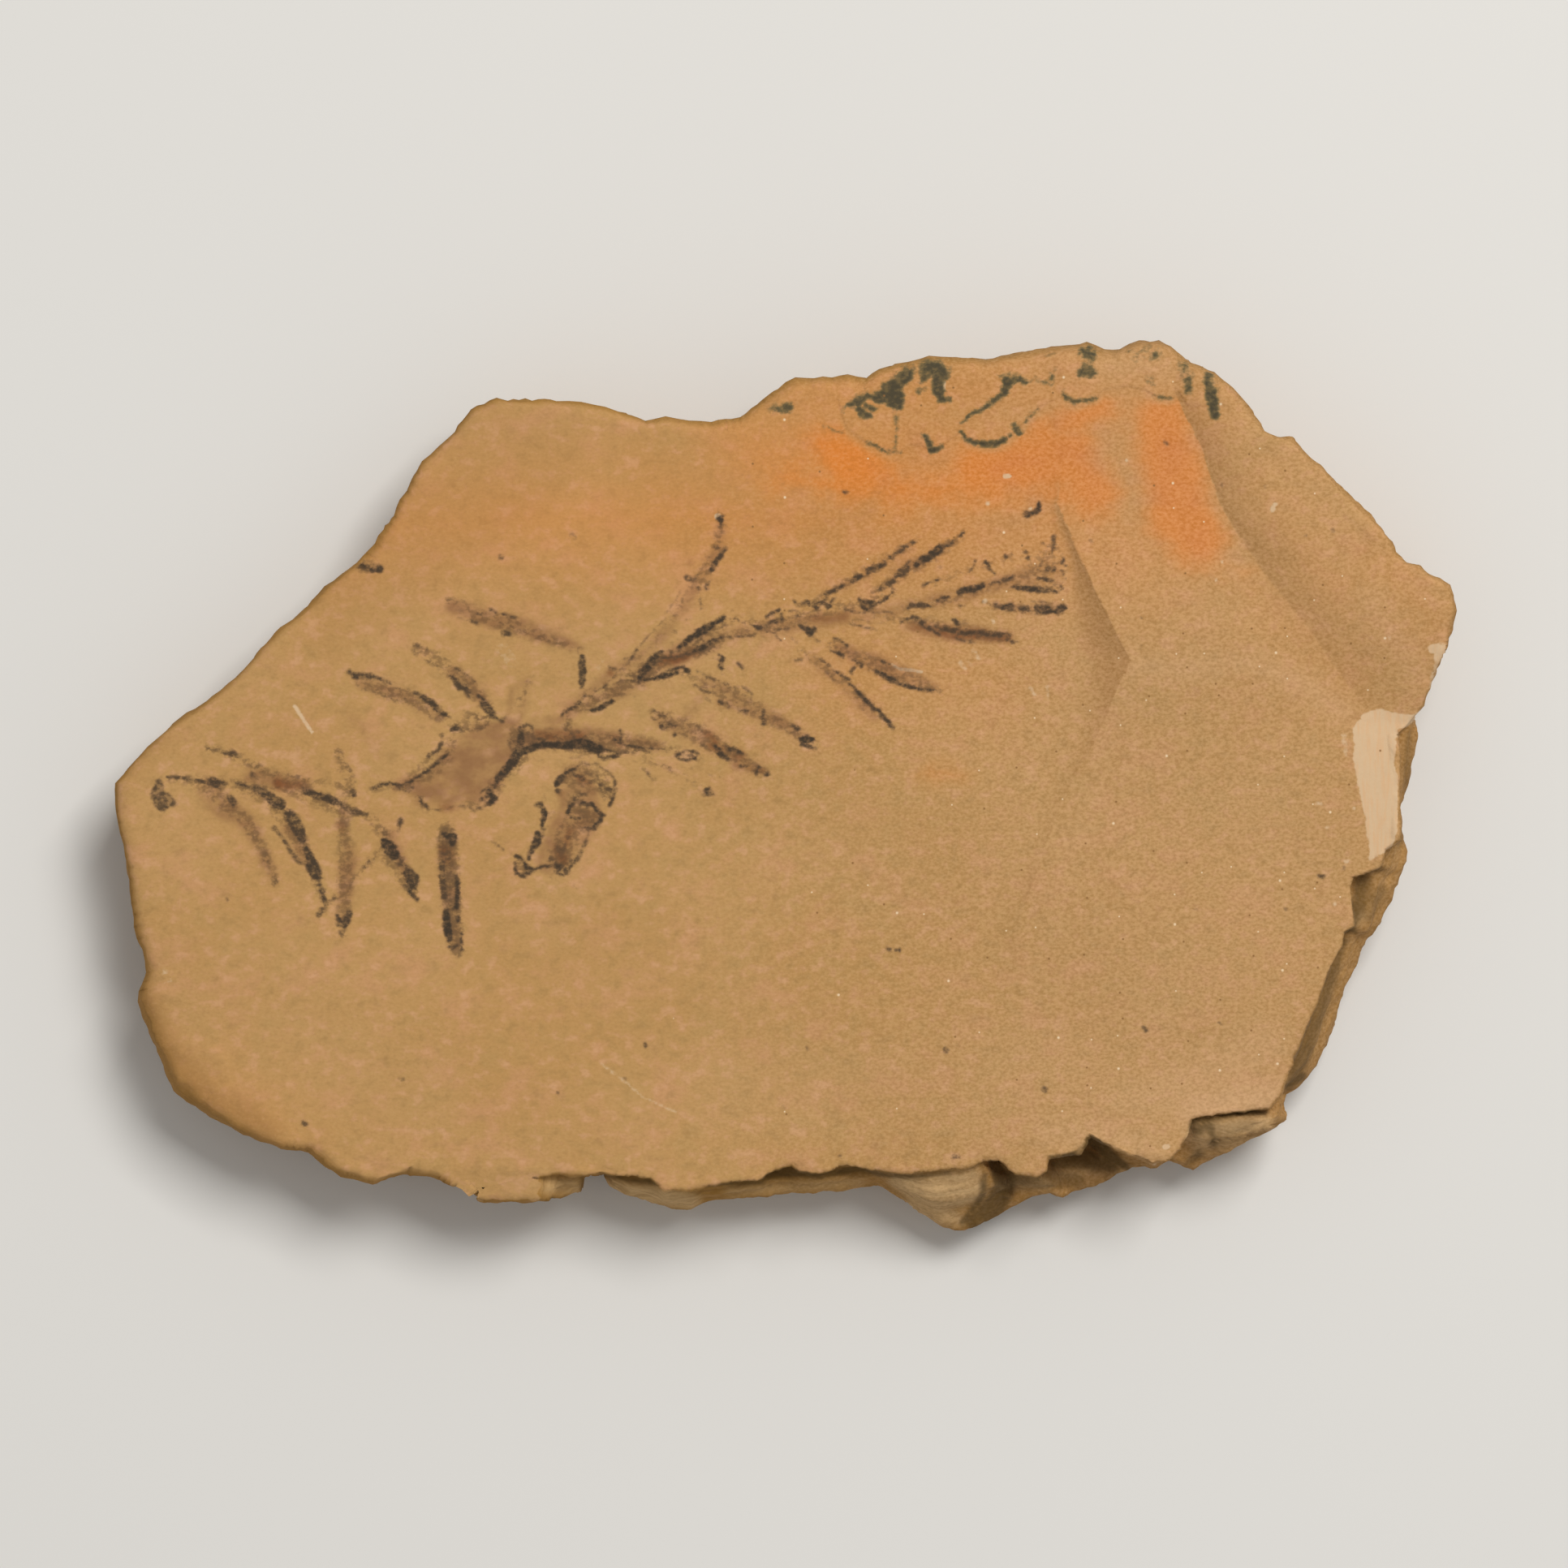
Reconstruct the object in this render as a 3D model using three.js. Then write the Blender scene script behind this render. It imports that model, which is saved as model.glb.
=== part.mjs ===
// Fossil dawn redwood leaf: a broken slab of fine tan shale, split along its bedding so that one face
// shows the pressed leaf. The leaf is a film of carbon with no height of its own, so the whole thing
// is one stone. It lies flat, leaf side up, on its split underside. Millimetres, +Z up.

import * as THREE from "three";

const { clamp, lerp, smoothstep } = THREE.MathUtils;

// Driving dimensions.
const LENGTH = 125.2; // left tip to right corner, along X
const WIDTH = 83.8; // front edge to back edge, along Y
const THICKNESS = 13; // underside to the bedding plane that carries the leaf
const SHEET_RISE = 1; // step up onto the sheet of stone that still covers the leaf's tip
const SHOULDER_RISE = 1; // step up from that sheet to the right-hand margin
const TROUGH_DEPTH = 0.4; // hollow that runs on from that step toward the right edge
const BED_STEP = 1.3; // how far the beds step in and out on the broken sides
const BASE_INSET = 1.3; // how far the underside stays inside the broken sides

// The bedding plane's slow swell: height and length of its waves.
const SWELL_HEIGHT = 0.2;
const SWELL_LENGTH = 15;
const RIPPLE_HEIGHT = 0.09;
const RIPPLE_LENGTH = 6.5;

// Spacing of the facets.
const LONGEST_EDGE = 2.3; // round the broken edge
const SHORTEST_EDGE = 0.55; // round the broken edge
const FACE_SPACING = 2.2; // across the bedding plane
const CREASE_SPACING = 1.6; // along the creases of the bedding plane
const CLEARANCE = 1.1; // from a loose point of the bedding plane to its rim or a crease

// The stone's outline seen from above, clockwise: first the left, back and right edges, where the
// top bed reaches as far as the rest.
const BACK = [
  [-30.2, -37.8], [-32.4, -36.8], [-35.4, -36.3], [-37.7, -37.2], [-38.6, -37.4], [-41.5, -36.5],
  [-43.8, -35.1], [-44.7, -34.4], [-47.2, -34], [-50.2, -32.9], [-54, -31.1], [-55.6, -29.9],
  [-57.1, -28.5], [-58.2, -26.8], [-59.7, -23.3], [-60.6, -20.3], [-60.5, -19.3], [-60, -17.6],
  [-60.3, -15.4], [-61.9, -6.6], [-62.6, -2.4], [-62.6, 0.2], [-61.4, 2.1], [-58.1, 5.2],
  [-55.2, 7], [-52.1, 9.6], [-49.1, 12.8], [-47.2, 14.8], [-43, 18.6], [-40, 20.9], [-38.2, 22.6],
  [-36, 26.8], [-33.9, 30.4], [-31, 33.3], [-29.3, 35.2], [-26.9, 36.2], [-25.8, 36.7],
  [-24.9, 36.2], [-20.2, 35.9], [-15.7, 35.2], [-13, 34.2], [-11.1, 34.4], [-6.8, 33.9],
  [-4.1, 34.5], [-2, 36.1], [1.1, 38.1], [4.5, 38], [6, 38.4], [7.8, 38.1], [9, 39], [10.9, 39.6],
  [13.6, 40.1], [17.8, 40.3], [19.7, 40], [20.4, 40.4], [25.8, 41.2], [28.4, 41.6], [30.1, 41],
  [31.5, 41], [33.4, 41.6], [35.3, 41.9], [36.4, 41.4], [37.7, 40.1], [40.4, 38.8], [42.1, 37.3],
  [43.5, 35.6], [45.1, 33.3], [46.3, 32.7], [47.6, 32.6], [48.9, 31.2], [52.7, 27.4], [55.8, 24.2],
  [56.9, 22.8], [57.3, 21.9], [58.4, 21], [59.6, 20.6], [60.3, 19.8], [62.2, 18.7], [62.6, 16.9],
  [62.6, 15.8], [61.9, 12.8], [60.5, 9], [59.7, 6.3],
];

// Then the front, where lower beds stand out past the top one.
const FRONT = [
  [59.1, 2.9], [58.6, -1.7], [58.5, -6.2], [57.8, -9.3], [56.4, -12.7], [54.6, -15.4], [53.4, -18.2],
  [52.9, -19.9], [51.6, -23.3], [49.9, -26.9], [48.9, -28.1], [47.6, -29], [47.1, -31.3],
  [45.9, -32.2], [43.6, -33.6], [39.4, -35.6], [38.7, -36.4], [37.8, -36.6], [36.8, -35.6],
  [35.3, -36.2], [33, -36.1], [30.7, -37.2], [26.3, -38.8], [25.4, -38.4], [23.9, -38.7],
  [21.2, -39.9], [20.4, -40.6], [19.3, -41.2], [17.8, -41.6], [16.3, -41.9], [15.1, -41.7],
  [12.5, -40.1], [9.8, -38.2], [8.9, -37.5], [7.1, -37.9], [4.9, -38.2], [1.1, -38.2], [-3.5, -38.9],
  [-7.7, -39.4], [-8.8, -40], [-11.1, -39.9], [-14.1, -38.7], [-16.4, -37.8], [-17.2, -36.7],
  [-18.9, -36.7], [-19.1, -38.3], [-21, -38.8], [-23.6, -39.2], [-28.6, -39.1],
];

// The lip of the top bed along the same front.
const LIP = [
  [58.7, 5.8], [57.5, 4.8], [57.8, 0.6], [57.6, -5.1], [56.4, -5.9], [55.8, -7.6], [53.4, -8.5],
  [53.2, -9.4], [53.6, -13.2], [52.6, -13.8], [52.4, -15], [51.1, -17.6], [49.9, -20.3],
  [48.6, -23.7], [47.4, -26.8], [46.7, -28.7], [45.8, -30.2], [42.1, -30.6], [38.2, -31.2],
  [37.8, -32.5], [37.2, -34], [36, -35.1], [33, -35.9], [32.1, -34.7], [31.1, -34], [29.6, -33.6],
  [28.8, -32.8], [28.3, -33], [27.7, -34.4], [24.7, -34.9], [24.5, -35.9], [23.9, -36.6],
  [22, -36.4], [20.1, -35.4], [18.9, -35.2], [17.8, -35.7], [14, -36.2], [10.2, -36.4],
  [7.1, -35.9], [5.2, -35.9], [3, -36.5], [1.4, -36.4], [0.7, -35.7], [-0.8, -36.1],
  [-1.8, -35.9], [-2.3, -37.1], [-5, -37.2], [-8.1, -37.7], [-11.1, -38], [-12.6, -37],
  [-13.8, -36.7], [-17.2, -36.5], [-21, -36.5], [-24.8, -37], [-27.8, -37.6], [-29.5, -38.5],
];

// How the rim of the top bed is worn: how wide its slope is and how far it drops, clockwise.
const RIM = [
  { at: [-62.6, -1], width: 1.4, drop: 0.8 },
  { at: [-58, 5], width: 2.2, drop: 1.1 },
  { at: [-45, 17], width: 2.6, drop: 1.1 },
  { at: [-31, 33], width: 1.8, drop: 0.9 },
  { at: [-14, 35], width: 1.8, drop: 0.9 },
  { at: [1, 38], width: 2.4, drop: 1.2 },
  { at: [11, 39.6], width: 2.2, drop: 1.1 },
  { at: [21, 40.4], width: 3.6, drop: 1.9 },
  { at: [33, 41.5], width: 4.2, drop: 2.2 },
  { at: [38, 40], width: 3.2, drop: 1.7 },
  { at: [42, 37], width: 2, drop: 1.1 },
  { at: [51, 29], width: 1.8, drop: 0.9 },
  { at: [62, 18], width: 1.6, drop: 0.9 },
  { at: [60, 7], width: 1.1, drop: 0.6 },
  { at: [57, -2], width: 0.8, drop: 0.4 },
  { at: [50, -21], width: 0.8, drop: 0.4 },
  { at: [30, -34], width: 0.8, drop: 0.35 },
  { at: [-16, -36.5], width: 0.8, drop: 0.35 },
  { at: [-22, -36.5], width: 1.2, drop: 0.6 },
  { at: [-29, -38], width: 2.2, drop: 1.2 },
  { at: [-42, -36], width: 2.6, drop: 1.3 },
  { at: [-51, -32], width: 4, drop: 1.8 },
  { at: [-57, -28], width: 6, drop: 2.6 },
  { at: [-60, -21], width: 5, drop: 2.2 },
  { at: [-60.5, -14], width: 2.2, drop: 1.1 },
];

// The beds that stand out past the lip: the height where they start under it, the height where they
// end at the stone's outline, and how far the lip hangs over them, clockwise.
const SHELVES = [
  { at: [59.7, 6], start: 11.6, end: 9.5, hang: 0 },
  { at: [57.6, -4], start: 11.4, end: 8.5, hang: 0 },
  { at: [55.5, -7.8], start: 11, end: 8, hang: 0.2 },
  { at: [53.6, -13], start: 10.2, end: 7.6, hang: 0.2 },
  { at: [52.5, -14.5], start: 9, end: 6.5, hang: 0.3 },
  { at: [50, -20], start: 9.4, end: 5.8, hang: 0 },
  { at: [46.8, -28.6], start: 9.4, end: 5.6, hang: 0 },
  { at: [45, -30.3], start: 11, end: 9, hang: 0 },
  { at: [38.6, -31.1], start: 10.6, end: 8.4, hang: 0.2 },
  { at: [37, -34.2], start: 8, end: 6, hang: 0.4 },
  { at: [33.6, -35.6], start: 6.5, end: 5, hang: 0.3 },
  { at: [28.6, -33.4], start: 5, end: 3.8, hang: 0.9 },
  { at: [25, -35], start: 6.5, end: 5, hang: 0.7 },
  { at: [23.6, -36.5], start: 9, end: 6.5, hang: 0.3 },
  { at: [20.6, -35.7], start: 7.4, end: 6, hang: 0.9 },
  { at: [19.6, -35.3], start: 8, end: 6, hang: 0.6 },
  { at: [18.8, -35.3], start: 11.8, end: 5.2, hang: 0 },
  { at: [9.4, -36.3], start: 11.4, end: 6, hang: 0 },
  { at: [7, -36], start: 10.2, end: 7.4, hang: 0.7 },
  { at: [3, -36.5], start: 10.4, end: 7.6, hang: 0.3 },
  { at: [-1, -36.2], start: 9.6, end: 7.4, hang: 0.8 },
  { at: [-4, -37.1], start: 10.2, end: 7.2, hang: 0.4 },
  { at: [-11.5, -37.9], start: 11, end: 6.6, hang: 0 },
  { at: [-13.8, -36.8], start: 10.6, end: 8, hang: 0.6 },
  { at: [-17, -36.5], start: 9.6, end: 7.8, hang: 0.6 },
  { at: [-19.2, -36.5], start: 10.8, end: 9.8, hang: 0.2 },
  { at: [-29, -38.3], start: 11.4, end: 10, hang: 0 },
];

// The two creases of the bedding plane, from the back edge to the front. The rise is a share of the
// driving dimension, and the slope is as wide as it says: left of the crest, and right of the foot.
const SHEET_CREST = [
  { at: [26.1, 30.2], rise: 0.15, slope: 2 },
  { at: [25.6, 26.4], rise: 0.3, slope: 1.6 },
  { at: [27.7, 21.4], rise: 0.65, slope: 1.6 },
  { at: [29.2, 18.1], rise: 0.95, slope: 3 },
  { at: [31.1, 14.3], rise: 1, slope: 4.8 },
  { at: [32.4, 11.8], rise: 0.85, slope: 5.6 },
  { at: [29.9, 5.9], rise: 0.4, slope: 3.5 },
  { at: [25.8, -2.1], rise: 0.3, slope: 2.4 },
  { at: [22.3, -11.7], rise: 0.25, slope: 2 },
  { at: [21.4, -17], rise: 0.15, slope: 2 },
  { at: [21.1, -25.8], rise: 0, slope: 2 },
];
const SHOULDER_FOOT = [
  { at: [36.5, 37], rise: 0.5, slope: 2.5 },
  { at: [37.7, 34.4], rise: 0.9, slope: 4 },
  { at: [39.1, 31.6], rise: 1, slope: 5 },
  { at: [40.8, 26.4], rise: 1, slope: 6 },
  { at: [43.2, 22.5], rise: 0.95, slope: 7 },
  { at: [45, 19.8], rise: 0.8, slope: 8 },
  { at: [49, 14.8], rise: 0.7, slope: 8 },
  { at: [53.4, 8.6], rise: 0.4, slope: 6 },
  { at: [55.5, 5.6], rise: 0, slope: 4 },
];
const TROUGH = { from: [44, 20], to: [56, 8], halfWidth: 3.4 };

// A point or a list of stations, stretched so that the outline measures LENGTH by WIDTH.
function span(axis) {
  const values = [...BACK, ...FRONT].map((point) => point[axis]);
  return Math.max(...values) - Math.min(...values);
}

const STRETCH = [LENGTH / span(0), WIDTH / span(1)];

function stretched([x, y]) {
  return [x * STRETCH[0], y * STRETCH[1]];
}

function stretchedStations(stations) {
  return stations.map((station) => ({ ...station, at: stretched(station.at) }));
}

const stone = [...BACK, ...FRONT].map(stretched);
const topBed = [...BACK, ...LIP].map(stretched);
const rim = stretchedStations(RIM);
const shelves = stretchedStations(SHELVES);
const sheetCrest = stretchedStations(SHEET_CREST);
const shoulderFoot = stretchedStations(SHOULDER_FOOT);

// Repeatable noise between -1 and 1: one value a cell, and a smooth blend of the cells.
function cellNoise(i, j) {
  const value = Math.sin(i * 127.1 + j * 311.7) * 43758.5453;
  return 2 * (value - Math.floor(value)) - 1;
}

function smoothNoise(x, y) {
  const i = Math.floor(x);
  const j = Math.floor(y);
  const across = smoothstep(x - i, 0, 1);
  const near = lerp(cellNoise(i, j), cellNoise(i + 1, j), across);
  const far = lerp(cellNoise(i, j + 1), cellNoise(i + 1, j + 1), across);
  return lerp(near, far, smoothstep(y - j, 0, 1));
}

// Where a crease lies at a given Y, with its rise and the width of its slope there.
function creaseAt(crease, y) {
  const after = crease.findIndex((station) => station.at[1] <= y);
  const last = crease.length - 1;
  const b = crease[after === -1 ? last : after];
  const a = after > 0 ? crease[after - 1] : b;
  const along = a === b ? 0 : (a.at[1] - y) / (a.at[1] - b.at[1]);
  return {
    x: lerp(a.at[0], b.at[0], along),
    rise: lerp(a.rise, b.rise, along),
    slope: lerp(a.slope, b.slope, along),
  };
}

// Distance from a point to the straight line between two others.
function distanceToSegment([x, y], [ax, ay], [bx, by]) {
  const length = (bx - ax) ** 2 + (by - ay) ** 2;
  const along = clamp(((x - ax) * (bx - ax) + (y - ay) * (by - ay)) / length, 0, 1);
  return Math.hypot(x - lerp(ax, bx, along), y - lerp(ay, by, along));
}

// Height of the bedding plane: a slow swell, the sheet that steps up at its crest, the shoulder that
// climbs from its foot, and the trough that runs on from it.
function bedding(x, y) {
  const swell = SWELL_HEIGHT * Math.sin(x / SWELL_LENGTH + 0.8) * Math.cos(y / SWELL_LENGTH - 0.4);
  const ripple = RIPPLE_HEIGHT * Math.sin((x + 1.7 * y) / RIPPLE_LENGTH);
  const crest = creaseAt(sheetCrest, y);
  const climb = clamp(1 + (x - crest.x) / crest.slope, 0, 1);
  const sheet = SHEET_RISE * crest.rise * climb ** 2;
  const foot = creaseAt(shoulderFoot, y);
  const ascent = clamp((x - foot.x) / foot.slope, 0, 1);
  const shoulder = SHOULDER_RISE * foot.rise * ascent * (2 - ascent);
  const offTrough = distanceToSegment([x, y], TROUGH.from, TROUGH.to) / TROUGH.halfWidth;
  const trough = TROUGH_DEPTH * Math.exp(-(offTrough ** 2));
  return THICKNESS + swell + ripple + sheet + shoulder - trough;
}

// Distance from the centre, in one direction, to the outermost crossing of a closed outline.
function reach(outline, angle) {
  const dx = Math.cos(angle);
  const dy = Math.sin(angle);
  const rounding = 1e-9;
  let farthest = 0;
  outline.forEach(([ax, ay], index) => {
    const [bx, by] = outline[(index + 1) % outline.length];
    const turn = dx * (by - ay) - dy * (bx - ax);
    const distance = (ax * (by - ay) - ay * (bx - ax)) / turn;
    const along = (ax * dy - ay * dx) / turn;
    if (along > -rounding && along < 1 + rounding && distance > farthest) {
      farthest = distance;
    }
  });
  return farthest;
}

function angleOf([x, y]) {
  return Math.atan2(y, x);
}

// A value of a ring of stations in one direction, blended between its two neighbours.
function ringValue(stations, key, angle) {
  const circle = 2 * Math.PI;
  const gaps = stations.map((station) => (angleOf(station.at) - angle + 2 * circle) % circle);
  const ahead = gaps.indexOf(Math.min(...gaps));
  const behind = gaps.indexOf(Math.max(...gaps));
  const whole = gaps[ahead] + circle - gaps[behind];
  return lerp(stations[behind][key], stations[ahead][key], (circle - gaps[behind]) / whole);
}

// How far a bed is broken back at one place on the side: each bed by its own share, then in blocks
// of its own length, with a little waver.
function brokenBack(angle, bed) {
  const own = cellNoise(bed, 4);
  const block = cellNoise(Math.floor(angle * (8 + 2.6 * bed)), bed);
  const waver = smoothNoise(angle * 24, bed * 5.3);
  return BED_STEP * clamp(0.5 + 0.3 * own + 0.3 * block + 0.15 * waver, 0, 1);
}

// The stone's section in one direction, as [distance, height]: the crown of the top bed's rim, its
// lip, then a tread and a riser for each bed below, and the underside. Where lower beds stand out
// past the lip, the section follows their shelf instead.
function section(angle) {
  const lip = reach(topBed, angle);
  const foot = Math.max(reach(stone, angle), lip);
  const crown = lip - ringValue(rim, "width", angle);
  const crownHeight = bedding(crown * Math.cos(angle), crown * Math.sin(angle));
  const wear = 1 + 0.25 * smoothNoise(angle * 20, 0.5);
  const lipHeight = bedding(lip * Math.cos(angle), lip * Math.sin(angle))
    - ringValue(rim, "drop", angle) * wear;
  const backs = [0, 1, 2, 3, 4].map((bed) => brokenBack(angle, bed));
  const cliff = [
    [lip - 0.3 * backs[0], lipHeight * 0.84],
    [lip - backs[1], lipHeight * 0.79],
    [lip - backs[1], lipHeight * 0.6],
    [lip - backs[2], lipHeight * 0.55],
    [lip - backs[2], lipHeight * 0.36],
    [lip - backs[3], lipHeight * 0.31],
    [lip - backs[3], lipHeight * 0.1],
  ];
  const start = ringValue(shelves, "start", angle);
  const end = ringValue(shelves, "end", angle);
  const hang = ringValue(shelves, "hang", angle);
  const shelf = [
    [lip - hang, lerp(lipHeight, start, 0.5)],
    [lip - hang / 2, start],
    [lerp(lip, foot, 0.52), lerp(start, end, 0.35)],
    [lerp(lip, foot, 0.62), lerp(start, end, 0.6)],
    [foot, end],
    [foot - 0.6 * backs[2], end * 0.62],
    [foot - backs[3], end * 0.28],
  ];
  const standsOut = clamp((foot - lip - 0.3) / 0.8, 0, 1);
  const beds = cliff.map(([distance, height], level) => (
    [lerp(distance, shelf[level][0], standsOut), lerp(height, shelf[level][1], standsOut)]
  ));
  return [[crown, crownHeight], [lip, lipHeight], ...beds, [foot - BASE_INSET - backs[4], 0]];
}

// Directions that pass through every corner of the outlines, filled in where they are far apart.
function directions() {
  const corners = [...stone, ...topBed].map(angleOf).sort((a, b) => a - b);
  const kept = [];
  for (const angle of corners) {
    const gap = kept.length ? angle - kept[kept.length - 1] : Infinity;
    if (gap * reach(stone, angle) > SHORTEST_EDGE) {
      kept.push(angle);
    }
  }
  return kept.flatMap((angle, index) => {
    const next = index + 1 < kept.length ? kept[index + 1] : kept[0] + 2 * Math.PI;
    const steps = Math.ceil(((next - angle) * reach(stone, angle)) / LONGEST_EDGE);
    return Array.from({ length: steps }, (_, step) => lerp(angle, next, step / steps));
  });
}

function inside([x, y], outline) {
  let crossings = 0;
  outline.forEach(([ax, ay], index) => {
    const [bx, by] = outline[(index + 1) % outline.length];
    if (ay > y !== by > y && x < ax + ((y - ay) * (bx - ax)) / (by - ay)) {
      crossings += 1;
    }
  });
  return crossings % 2 === 1;
}

function isClear(point, outline) {
  return outline.every((corner, index) => (
    distanceToSegment(point, corner, outline[(index + 1) % outline.length]) > CLEARANCE
  ));
}

// Points along a crease, evenly spaced in Y between its ends.
function creasePoints(crease) {
  const back = crease[0].at[1];
  const front = crease[crease.length - 1].at[1];
  const steps = Math.ceil((back - front) / CREASE_SPACING);
  return Array.from({ length: steps + 1 }, (_, step) => {
    const y = lerp(back, front, step / steps);
    return [creaseAt(crease, y).x, y];
  });
}

// Loose points over the bedding plane: staggered rows, each point nudged, clear of rim and creases.
function loosePoints(crown, creases) {
  const points = [];
  const rowGap = FACE_SPACING * Math.sqrt(0.75);
  const rows = Math.ceil(WIDTH / 2 / rowGap);
  const columns = Math.ceil(LENGTH / 2 / FACE_SPACING);
  for (let row = -rows; row <= rows; row += 1) {
    for (let column = -columns; column <= columns; column += 1) {
      const stagger = row % 2 === 0 ? 0 : 0.5;
      const x = (column + stagger + 0.24 * cellNoise(column, row)) * FACE_SPACING;
      const y = row * rowGap + 0.24 * cellNoise(row, column + 0.5) * FACE_SPACING;
      const offCrease = creases.every((other) => Math.hypot(x - other[0], y - other[1]) > CLEARANCE);
      if (offCrease && inside([x, y], crown) && isClear([x, y], crown)) {
        points.push([x, y]);
      }
    }
  }
  return points;
}

// A triangle of three points, with the circle through them.
function circled(points, a, b, c) {
  const [ax, ay] = points[a];
  const [bx, by] = [points[b][0] - ax, points[b][1] - ay];
  const [cx, cy] = [points[c][0] - ax, points[c][1] - ay];
  const twice = 2 * (bx * cy - by * cx);
  const ux = (cy * (bx * bx + by * by) - by * (cx * cx + cy * cy)) / twice;
  const uy = (bx * (cx * cx + cy * cy) - cx * (bx * bx + by * by)) / twice;
  return { corners: [a, b, c], x: ax + ux, y: ay + uy, radius: Math.hypot(ux, uy) };
}

// Delaunay triangles of the points, anticlockwise, found by adding the points one at a time.
function triangulate(points) {
  const far = 100 * LENGTH;
  const count = points.length;
  const all = [...points, [-far, -far], [far, -far], [0, far]];
  let triangles = [circled(all, count, count + 1, count + 2)];
  points.forEach(([x, y], added) => {
    const hole = new Map();
    const kept = [];
    for (const triangle of triangles) {
      if (Math.hypot(x - triangle.x, y - triangle.y) >= triangle.radius) {
        kept.push(triangle);
        continue;
      }
      triangle.corners.forEach((a, index) => {
        const b = triangle.corners[(index + 1) % 3];
        if (!hole.delete(`${b},${a}`)) {
          hole.set(`${a},${b}`, [a, b]);
        }
      });
    }
    const fan = [...hole.values()].map(([a, b]) => circled(all, a, b, added));
    triangles = [...kept, ...fan];
  });
  return triangles.map((triangle) => triangle.corners).filter((corners) => Math.max(...corners) < count);
}

// The whole stone as one closed skin: the bedding plane, the broken sides and the flat underside.
function stoneGeometry() {
  const angles = directions();
  const around = angles.length;
  const sections = angles.map(section);
  const place = ([distance, height], ray) => (
    [distance * Math.cos(angles[ray]), distance * Math.sin(angles[ray]), height]
  );
  const levels = sections[0].map((_, level) => sections.map((points, ray) => place(points[level], ray)));
  const crown = levels[0].map(([x, y]) => [x, y]);
  const creases = [sheetCrest, shoulderFoot].flatMap(creasePoints)
    .filter((point) => inside(point, crown) && isClear(point, crown));
  const loose = loosePoints(crown, creases);

  const face = [...crown, ...creases, ...loose];
  const faceTriangles = triangulate(face).filter((corners) => {
    const middle = [0, 1].map((axis) => corners.reduce((sum, corner) => sum + face[corner][axis], 0) / 3);
    return inside(middle, crown);
  });

  const vertices = [...levels.flat()];
  const firstLoose = vertices.length;
  face.slice(around).forEach(([x, y]) => vertices.push([x, y, bedding(x, y)]));
  const onFace = (corner) => (corner < around ? corner : firstLoose + corner - around);
  const triangles = faceTriangles.map((corners) => corners.map(onFace));

  for (let level = 0; level + 1 < levels.length; level += 1) {
    for (let ray = 0; ray < around; ray += 1) {
      const next = (ray + 1) % around;
      const upper = level * around;
      const lower = upper + around;
      triangles.push([upper + ray, lower + ray, lower + next]);
      triangles.push([upper + ray, lower + next, upper + next]);
    }
  }

  const firstBase = (levels.length - 1) * around;
  const base = levels[levels.length - 1].map(([x, y]) => new THREE.Vector2(x, y));
  for (const [a, b, c] of THREE.ShapeUtils.triangulateShape(base, [])) {
    triangles.push([firstBase + a, firstBase + c, firstBase + b]);
  }

  const geometry = new THREE.BufferGeometry();
  geometry.setAttribute("position", new THREE.Float32BufferAttribute(vertices.flat(), 3));
  geometry.setIndex(triangles.flat());
  geometry.computeVertexNormals();
  return geometry;
}

const slab = new THREE.Mesh(
  stoneGeometry(),
  new THREE.MeshStandardMaterial({ color: 0xb98c5b, roughness: 0.92, metalness: 0 }),
);
slab.name = "stone_slab";

const group = new THREE.Group();
group.add(slab);

export default group;
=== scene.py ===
"""Fossil dawn redwood leaf: a broken slab of tan shale with a pressed leafy shoot on its split face.

The leaf is a film of carbon with no height of its own, so the whole thing is one stone. The slab's
solid gives its shape; here its skin is refined, weathered and stained, light and shade are painted on
it, and the film is laid on it.
Shapes are worked out in millimetres and written to the meshes in metres, +Z up.
"""

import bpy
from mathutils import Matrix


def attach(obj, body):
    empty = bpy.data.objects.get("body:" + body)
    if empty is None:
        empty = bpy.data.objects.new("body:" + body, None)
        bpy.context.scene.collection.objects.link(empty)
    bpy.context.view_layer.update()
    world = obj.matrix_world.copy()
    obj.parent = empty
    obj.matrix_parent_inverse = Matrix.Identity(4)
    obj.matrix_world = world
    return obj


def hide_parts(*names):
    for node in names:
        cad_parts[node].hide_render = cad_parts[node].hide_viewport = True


bl_info = {
    "name": "Fossil dawn redwood leaf",
    "version": (1, 0, 0),
    "blender": (4, 5, 0),
    "location": "3D View > Sidebar > Fossil",
    "description": "A slab of tan shale with the carbon film of a dawn redwood shoot",
    "category": "Add Mesh",
}

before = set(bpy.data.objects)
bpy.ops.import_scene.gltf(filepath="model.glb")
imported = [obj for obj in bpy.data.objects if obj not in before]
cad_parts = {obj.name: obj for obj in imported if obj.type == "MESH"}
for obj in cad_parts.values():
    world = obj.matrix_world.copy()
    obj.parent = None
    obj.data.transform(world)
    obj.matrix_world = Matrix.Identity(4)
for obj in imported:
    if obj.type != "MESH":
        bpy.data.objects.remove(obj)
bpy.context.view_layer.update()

import math

import bmesh
import bpy
import numpy as np
from bpy.props import FloatProperty, FloatVectorProperty, PointerProperty
from mathutils import Vector, noise

MM = 0.001  # a millimetre in metres
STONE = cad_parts["stone_slab"]

# The bedding plane, in millimetres: its height over the underside, its slow swell and its ripple.
THICKNESS = 13
SWELL_HEIGHT, SWELL_LENGTH, SWELL_PHASES = 0.2, 15, (0.8, -0.4)
RIPPLE_HEIGHT, RIPPLE_LENGTH, RIPPLE_SLANT = 0.09, 6.5, 1.7

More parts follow.
